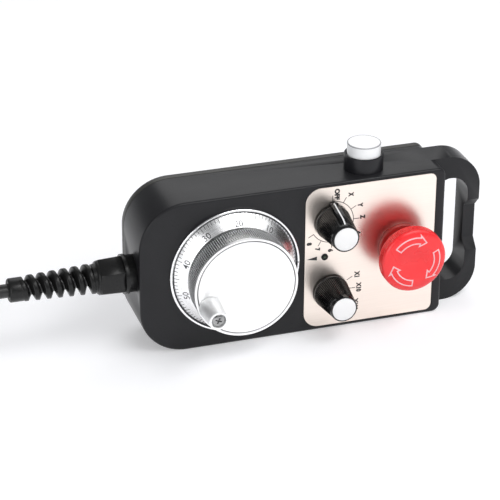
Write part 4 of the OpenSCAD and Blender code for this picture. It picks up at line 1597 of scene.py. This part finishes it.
@dataclass
class CableGland:
    """The gland in the cable end: body, hexagon nut and the spiral that guards the cable's bend."""

    at: Pair = (15.5, 48.0)
    across_flats: float = 21.3
    spiral_start: float = 23.0
    relief_end: float = 74.0
    pitch: float = 6.6
    cable: float = 4.1
    spiral_tip: float = 9.1
    spiral_narrows: float = 1.7
    spiral_turned: float = 125.0
    steps_per_turn: int = 40

    def hexagon(self) -> Shape:
        """The tapering hexagon nut, with the shoulder that the spiral springs from.

        Returns:
            The nut.
        """
        nut = bmesh.new()
        bmesh.ops.create_circle(nut, cap_ends=True, segments=6, radius=self.across_flats / math.sqrt(3))
        bmesh.ops.rotate(nut, verts=nut.verts[:], cent=(0, 0, 0),
                         matrix=Matrix.Rotation(math.radians(-90), 3, "Z"))
        top = bmesh.ops.extrude_face_region(nut, geom=nut.faces[:])["geom"]
        raised = points_of(top)
        bmesh.ops.translate(nut, vec=(0, 0, 14), verts=raised)
        bmesh.ops.scale(nut, vec=(0.95, 0.95, 1), verts=raised)
        bmesh.ops.translate(nut, vec=(0, 0, 7), verts=nut.verts[:])
        bmesh.ops.recalc_face_normals(nut, faces=nut.faces[:])
        soften(nut, 0.4, 1, 25)
        shoulder = turned_shape([(0, 20.5), (10.0, 20.5), (9.9, 21.7), (9.5, 22.3), (8.6, 22.8), (8.4, 24.6),
                                 (7.9, 25), (0, 25)], 64)
        return join([nut, shoulder])

    def spiral(self) -> Shape:
        """The spiral of wedge-shaped turns, narrowing towards its end collar.

        Returns:
            The spiral.
        """
        start, end = self.spiral_start, self.relief_end - 7.5
        root = self.cable + 0.35
        steps = round(self.steps_per_turn * (end - start) / self.pitch)
        profile = [(0, -2.9), (0.3, -2.4), (0.6, -1.88), (0.86, -1.42), (0.96, -1.18), (1, -0.85), (1, 0.85),
                   (0.96, 1.18), (0.86, 1.42), (0.6, 1.88), (0.3, 2.4), (0, 2.9)]
        bm = bmesh.new()
        tip = self.spiral_tip
        points = [bm.verts.new((root + (tip - root) * share, 0, start + z)) for share, z in profile]
        edges = [bm.edges.new(pair) for pair in zip(points, points[1:] + points[:1])]
        bmesh.ops.rotate(bm, verts=points, cent=(0, 0, 0),
                         matrix=Matrix.Rotation(math.radians(self.spiral_turned), 3, "Z"))
        bmesh.ops.spin(bm, geom=points + edges, cent=(0, 0, 0), axis=(0, 0, 1),
                       angle=math.tau * steps / self.steps_per_turn, steps=steps,
                       dvec=(0, 0, (end - start) / steps))
        bmesh.ops.holes_fill(bm, edges=bm.edges[:], sides=0)
        for point in bm.verts:
            radius = math.hypot(point.co.x, point.co.y)
            share = (radius - root) / (tip - root)
            reach = tip - self.spiral_narrows * min(1.0, max(0.0, (point.co.z - start) / (end - start)))
            wanted = root + (reach - root) * share
            point.co.x *= wanted / radius
            point.co.y *= wanted / radius
        bmesh.ops.recalc_face_normals(bm, faces=bm.faces[:])
        return bm

    def collar(self) -> Shape:
        """The plain collar at the spiral's end.

        Returns:
            The collar.
        """
        end = self.relief_end
        profile = [(self.cable + 0.1, end - 8.8), (6.6, end - 8.8), (7.0, end - 8.5), (7.1, end - 8.1),
                   (7.1, end - 1.0), (6.9, end - 0.4), (6.4, end), (4.9, end), (self.cable + 0.15, end - 0.5)]
        return turned_shape(profile, 64, closed=True)

    def build(self) -> None:
        """Builds the nut and spiral, and dresses the gland's other parts."""
        place = on_cable_end(*self.at)
        refined_copy("gland_body", "gland_body_moulding", GLAND_PLASTIC, 0.3)
        make_piece(join([self.hexagon(), self.spiral(), self.collar()]), "gland_spiral_nut", place,
                   GLAND_PLASTIC, "housing", ("spiral_gland_nut",), smooth=38.0)
        dress_nodes({"gland_seal": SEAL_RUBBER, "gland_lock_nut": GLAND_PLASTIC, "cable_end": CABLE_SHEATH})


@dataclass
class Cord:
    """The cable outside the pendant: its run to the surface, the stored coil, ties and plug."""

    diameter: float = 8.2
    lead: tuple[Point, ...] = (
        (-74, 15.5, 48), (-78, 15.5, 48), (-82, 15.5, 47.8), (-86, 15.3, 47.1), (-91, 14.9, 45.6),
        (-97, 14, 42.9),
        (-103, 12.7, 39.8), (-110, 11, 36.1), (-118, 8.9, 32.6), (-126, 6.9, 30.5), (-134, 4.9, 29.6),
        (-142, 2.9, 29.2), (-150, 0.9, 28.7))
    tail: tuple[Point, ...] = (
        (-164, 87.3, 21.5), (-157, 87.5, 21.3), (-150, 87.6, 20.3), (-143, 87.2, 18.2), (-136, 86, 15.2),
        (-130, 84.5, 12.5), (-124, 83, 10.6), (-121, 82.5, 10.1), (-117, 82.3, 10))
    coil_at: Pair = (-170.0, 38.0)
    coil_start: float = -75.9
    turned_in_all: float = 1994.1
    settling: Pair = (6.4, 45.0)
    columns: Pair = (49.1, 40.9)
    layers: tuple[float, float, float] = (5.1, 13.3, 21.5)
    crossings: tuple[Pair, ...] = ((299, 364), (659, 724), (989, 1059), (1324, 1389), (1684, 1749))
    per_turn: int = 36
    plug_at: Point = (-121.0, 82.3, 10.0)
    tie_angles: Pair = (15.0, 195.0)
    tie_inner: float = 34.9
    tie_outer: float = 54.6
    tie_top: float = 26.6
    curve_step: float = 4.5

    def coil_point(self, turned: float) -> Point:
        """A point of the coil's centreline.

        Args:
            turned: degrees wound since the coil's start.

        Returns:
            The point.
        """
        outer, inner = self.columns
        low, middle, high = self.layers
        tracks = [(inner, high), (inner, middle), (inner, low), (outer, low), (outer, middle), (outer, high)]
        radius, height = tracks[0]
        for (start, end), (old, new) in zip(self.crossings, zip(tracks, tracks[1:])):
            share = self.eased((turned - start) / (end - start))
            radius += (new[0] - old[0]) * share
            height += (new[1] - old[1]) * share
        height += self.settling[0] * (1 - self.eased(turned / self.settling[1]))
        angle = math.radians(self.coil_start - turned)
        return (self.coil_at[0] + radius * math.cos(angle), self.coil_at[1] + radius * math.sin(angle),
                height)

    @staticmethod
    def eased(share: float) -> float:
        """A share held between 0 and 1, starting and ending gently."""
        held = min(1.0, max(0.0, share))
        return held * held * (3 - 2 * held)

    def route(self) -> list[Vector]:
        """The whole centreline from the gland to the plug.

        Returns:
            Its points in the part's frame, in metres.
        """
        count = round(self.turned_in_all / 360 * self.per_turn)
        coil = [self.coil_point(self.turned_in_all * i / count) for i in range(count + 1)]
        points = [Vector(p) for p in (*self.lead, *coil, *self.tail)]
        smooth = [points[0]]
        for i in range(len(points) - 1):
            before, here = points[max(i - 1, 0)], points[i]
            there, after = points[i + 1], points[min(i + 2, len(points) - 1)]
            steps = max(1, round((there - here).length / self.curve_step))
            slow, fast = 2 * before - 5 * here + 4 * there - after, 3 * here - before - 3 * there + after
            for k in range(1, steps + 1):
                t = k / steps
                smooth.append(0.5 * ((2 * here) + (there - before) * t + slow * t * t + fast * t ** 3))
        return [(p + CORNER) * MM for p in smooth]

    def cable(self) -> tuple[bpy.types.Object, float]:
        """The cable as one smooth curve.

        Returns:
            The curve's object and its length in metres.
        """
        points = self.route()
        curve = bpy.data.curves.new("cable", "CURVE")
        curve.dimensions = "3D"
        curve.bevel_depth = self.diameter * MM / 2
        curve.bevel_resolution = 5
        curve.use_fill_caps = True
        spline = curve.splines.new("POLY")
        spline.points.add(len(points) - 1)
        for knot, point in zip(spline.points, points):
            knot.co = (*point, 1.0)
        spline.use_smooth = True
        curve.materials.append(CABLE_SHEATH.material())
        cable = bpy.data.objects.new("cable", curve)
        bpy.context.scene.collection.objects.link(cable)
        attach(cable, "housing")
        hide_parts("cord_lead", "cord_coil", "cord_tail")
        return cable, sum((b - a).length for a, b in zip(points, points[1:]))

    def ties(self) -> bpy.types.Object:
        """The two strap ties round the coil.

        Returns:
            Their object.
        """
        straps = []
        inner, outer, top = self.tie_inner, self.tie_outer, self.tie_top
        for angle in self.tie_angles:
            strap = prism([(inner, 0), (outer, 0), (outer, top), (inner, top)], -6, 6)
            pierce(strap, [f for f in strap.faces if abs(f.normal.z) > 0.9], 1.0)
            straps.append(moved(soften(strap, 0.3), Matrix.Translation((*self.coil_at, 0))
                                @ Matrix.Rotation(math.radians(angle), 4, "Z")
                                @ Matrix.Rotation(math.radians(90), 4, "X")))
        return make_piece(join(straps), "coil_ties", from_corner(Matrix.Identity(4)), STRAP_PLASTIC,
                          "housing", ("cord_tie",))

    def plug(self) -> bpy.types.Object:
        """The round metal plug: back sleeve, body, knurled coupling ring and pins.

        Returns:
            Its object.
        """
        shell = turned_shape([(0, 0), (5.6, 0), (6.0, 0.4), (7.4, 2.8), (7.6, 3.4), (8, 13.6), (8.2, 14.4),
                              (8.6, 15), (8.6, 26.6), (8.3, 27), (8.3, 39.6), (8.0, 40), (7.4, 40), (7.4, 31),
                              (0, 31)], 72)
        coupling = ribbed_sleeve(48, 10.0, 9.6, 27.0, 42.0, 1.0, 0.5)
        pins = [moved(turned_shape([(0, 30.5), (0.5, 30.5), (0.5, 37.5), (0.3, 38), (0, 38)], 16),
                      Matrix.Rotation(math.tau * i / 6, 4, "Z") @ Matrix.Translation((4.6, 0, 0)))
                for i in range(6)]
        pierce(coupling, [f for f in coupling.faces if len(f.verts) > 20], 0.9)
        place = from_corner(Matrix.Translation(self.plug_at) @ Matrix.Rotation(math.radians(90), 4, "Y"))
        return make_piece(join([shell, coupling, *pins]), "cable_plug", place, PLUG_METAL, "housing",
                          ("cord_plug",))

    def build(self) -> None:
        cable, length = self.cable()
        with_it = [self.ties(), self.plug()]
        LOG.info("cable: %.3f m", length)


@dataclass
class Inside:
    """What is inside the housing and belongs to no control."""

    def build(self) -> None:
        """Dresses the junction board, its screws and the selectors' nuts."""
        dress_nodes({"junction_board": BOARD_GREEN, "board_screws": SCREW_STEEL, "switch_nuts": SCREW_STEEL})


# ---------------------------------------------------------------- studio

@dataclass
class StudioCamera:
    """The camera, set by where it looks and from which side."""

    aim: Point = (22.0, 0.55, 48.0)
    aside: float = -25.17
    above: float = 7.242
    distance: float = 1285.455
    azimuth: float = 18.14
    elevation: float = 27.254
    roll: float = 0.351
    lens: float = 157.61

    def build(self) -> None:
        """Builds the camera and makes it the scene's."""
        a, e, r = (math.radians(v) for v in (self.azimuth, self.elevation, self.roll))
        back = Vector((-math.sin(a) * math.cos(e), -math.cos(a) * math.cos(e), math.sin(e)))
        right = Vector((math.cos(a), -math.sin(a), 0))
        up = back.cross(right)
        right, up = right * math.cos(r) + up * math.sin(r), up * math.cos(r) - right * math.sin(r)
        data = bpy.data.cameras.new("studio_camera")
        data.lens = self.lens
        data.sensor_width = 36.0
        data.clip_start, data.clip_end = 0.05, 20.0
        camera = bpy.data.objects.new("studio_camera", data)
        place = (Vector(self.aim) + right * self.aside + up * self.above + back * self.distance) * MM
        camera.matrix_world = Matrix.Translation(place) @ Matrix((right, up, back)).transposed().to_4x4()
        bpy.context.scene.collection.objects.link(camera)
        bpy.context.scene.camera = camera


@dataclass(frozen=True)
class Softbox:
    """A large soft lamp."""

    name: str
    place: Point
    size: Pair
    watts: float
    tint: Colour = (1.0, 1.0, 1.0)
    aim: Point = (0.0, 0.0, 0.04)

    def build(self) -> None:
        """Builds the lamp, turned to its aim."""
        data = bpy.data.lights.new(self.name, "AREA")
        data.shape = "RECTANGLE"
        data.size, data.size_y = self.size
        data.energy = self.watts
        data.color = self.tint
        lamp = bpy.data.objects.new(self.name, data)
        way = Vector(self.aim) - Vector(self.place)
        lamp.matrix_world = Matrix.Translation(self.place) @ way.to_track_quat("-Z", "Y").to_matrix().to_4x4()
        bpy.context.scene.collection.objects.link(lamp)


@dataclass
class Studio:
    """A plain pale floor, soft lamps and a pale surround."""

    floor_half: float = 4.0
    floor_tints: tuple[Colour, Colour] = ((0.78, 0.78, 0.80), (0.79, 0.79, 0.81))
    sky: Colour = (0.96, 0.975, 1.0)
    ambient: float = 0.42
    ceiling: float = 0.22
    floor_lift: float = 0.29
    mirrored_lift: float = 0.55
    lamps: tuple[Softbox, ...] = (
        Softbox("key_softbox", (0.74, -0.92, 1.28), (2.05, 1.4), 14.0),
        Softbox("strip_softbox", (0.46, -0.70, 1.38), (1.1, 0.36), 6.0),
        Softbox("side_softbox", (-1.5, -1.5, 0.7), (1.0, 1.1), 12.0),
        Softbox("back_softbox", (0.3, 1.3, 1.3), (1.2, 1.2), 7.0),
    )

    def floor(self) -> None:
        """The floor, which keeps its shadow while its lit part matches the surround."""
        bm = bmesh.new()
        bmesh.ops.create_grid(bm, x_segments=1, y_segments=1, size=self.floor_half)
        mesh = bpy.data.meshes.new("floor")
        bm.to_mesh(mesh)
        bm.free()
        material = bpy.data.materials.new("floor_paper")
        material.use_nodes = True
        tree = material.node_tree
        shader = tree.nodes["Principled BSDF"]
        place = add_node(tree, "TexCoord")
        noise = add_node(tree, "TexNoise", {"Vector": place.outputs["Object"]}, Scale=3.0)
        tint = mixed(tree, noise.outputs["Fac"], *self.floor_tints)
        tree.links.new(tint, shader.inputs["Base Color"])
        shader.inputs["Roughness"].default_value = 0.9
        shader.inputs["Specular IOR Level"].default_value = 0.0
        tree.links.new(self.seen_rays(tree, self.floor_lift, self.mirrored_lift),
                       shader.inputs["Emission Strength"])
        shader.inputs["Emission Color"].default_value = (1, 1, 1, 1)
        mesh.materials.append(material)
        floor = bpy.data.objects.new("floor", mesh)
        bpy.context.scene.collection.objects.link(floor)

    @staticmethod
    def seen_rays(tree: bpy.types.NodeTree, direct: float, mirrored: float) -> bpy.types.NodeSocket:
        """A value that is there only for rays that show the surround.

        Args:
            tree: the node tree to build in.
            direct: the value where the camera sees the surround itself.
            mirrored: the value where metal or glass shows it.

        Returns:
            Its socket.
        """
        path = add_node(tree, "LightPath")
        shown = [times(tree, path.outputs[f"Is {kind} Ray"], strength)
                 for kind, strength in (("Camera", direct), ("Glossy", mirrored), ("Transmission", mirrored))]
        first = add_node(tree, "Math", {0: shown[0], 1: shown[1]}, "MAXIMUM")
        return add_node(tree, "Math", {0: first.outputs["Value"], 1: shown[2]}, "MAXIMUM").outputs["Value"]

    def surround(self) -> None:
        """The world: white where it is seen near the horizon, dimmer overhead, soft light for the rest."""
        world = bpy.data.worlds.new("surround")
        bpy.context.scene.world = world
        world.use_nodes = True
        tree = world.node_tree
        background = tree.nodes["Background"]
        place = add_node(tree, "TexCoord")
        split = add_node(tree, "SeparateXYZ", {"Vector": place.outputs["Generated"]})
        overhead = add_node(tree, "MapRange", {"Value": split.outputs["Z"]}, From_Min=-0.02, From_Max=0.25,
                            To_Min=1.0, To_Max=self.ceiling)
        overhead.interpolation_type = "SMOOTHSTEP"
        seen = self.seen_rays(tree, 1.0, 1.0)
        level = tree.nodes.new("ShaderNodeMix")
        level.inputs["A"].default_value = self.ambient
        tree.links.new(overhead.outputs["Result"], level.inputs["B"])
        tree.links.new(seen, level.inputs["Factor"])
        background.inputs["Color"].default_value = (*self.sky, 1)
        tree.links.new(level.outputs["Result"], background.inputs["Strength"])

    def build(self) -> None:
        """Builds the floor, the lamps and the surround."""
        self.floor()
        for lamp in self.lamps:
            lamp.build()
        self.surround()
        bpy.context.scene.view_settings.view_transform = "Standard"


def main() -> None:
    """Builds the whole scene, camera and cord first."""
    logging.basicConfig(level=logging.INFO, format="%(name)s: %(message)s")
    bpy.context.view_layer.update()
    StudioCamera().build()
    Cord().build()
    for part in (Housing(), FacePlate(), Handwheel(), Selector("axis", (117.0, 71.0), 0.0, "axis_dial"),
                 Selector("multiplier", (117.0, 25.0), 120.0, "multiplier_dial"), EmergencyStop(),
                 PushButton(), Lamp(), CableGland(), Inside()):
        LOG.info("building %s", type(part).__name__)
        part.build()
    Studio().build()


if __name__ == "__main__":
    main()
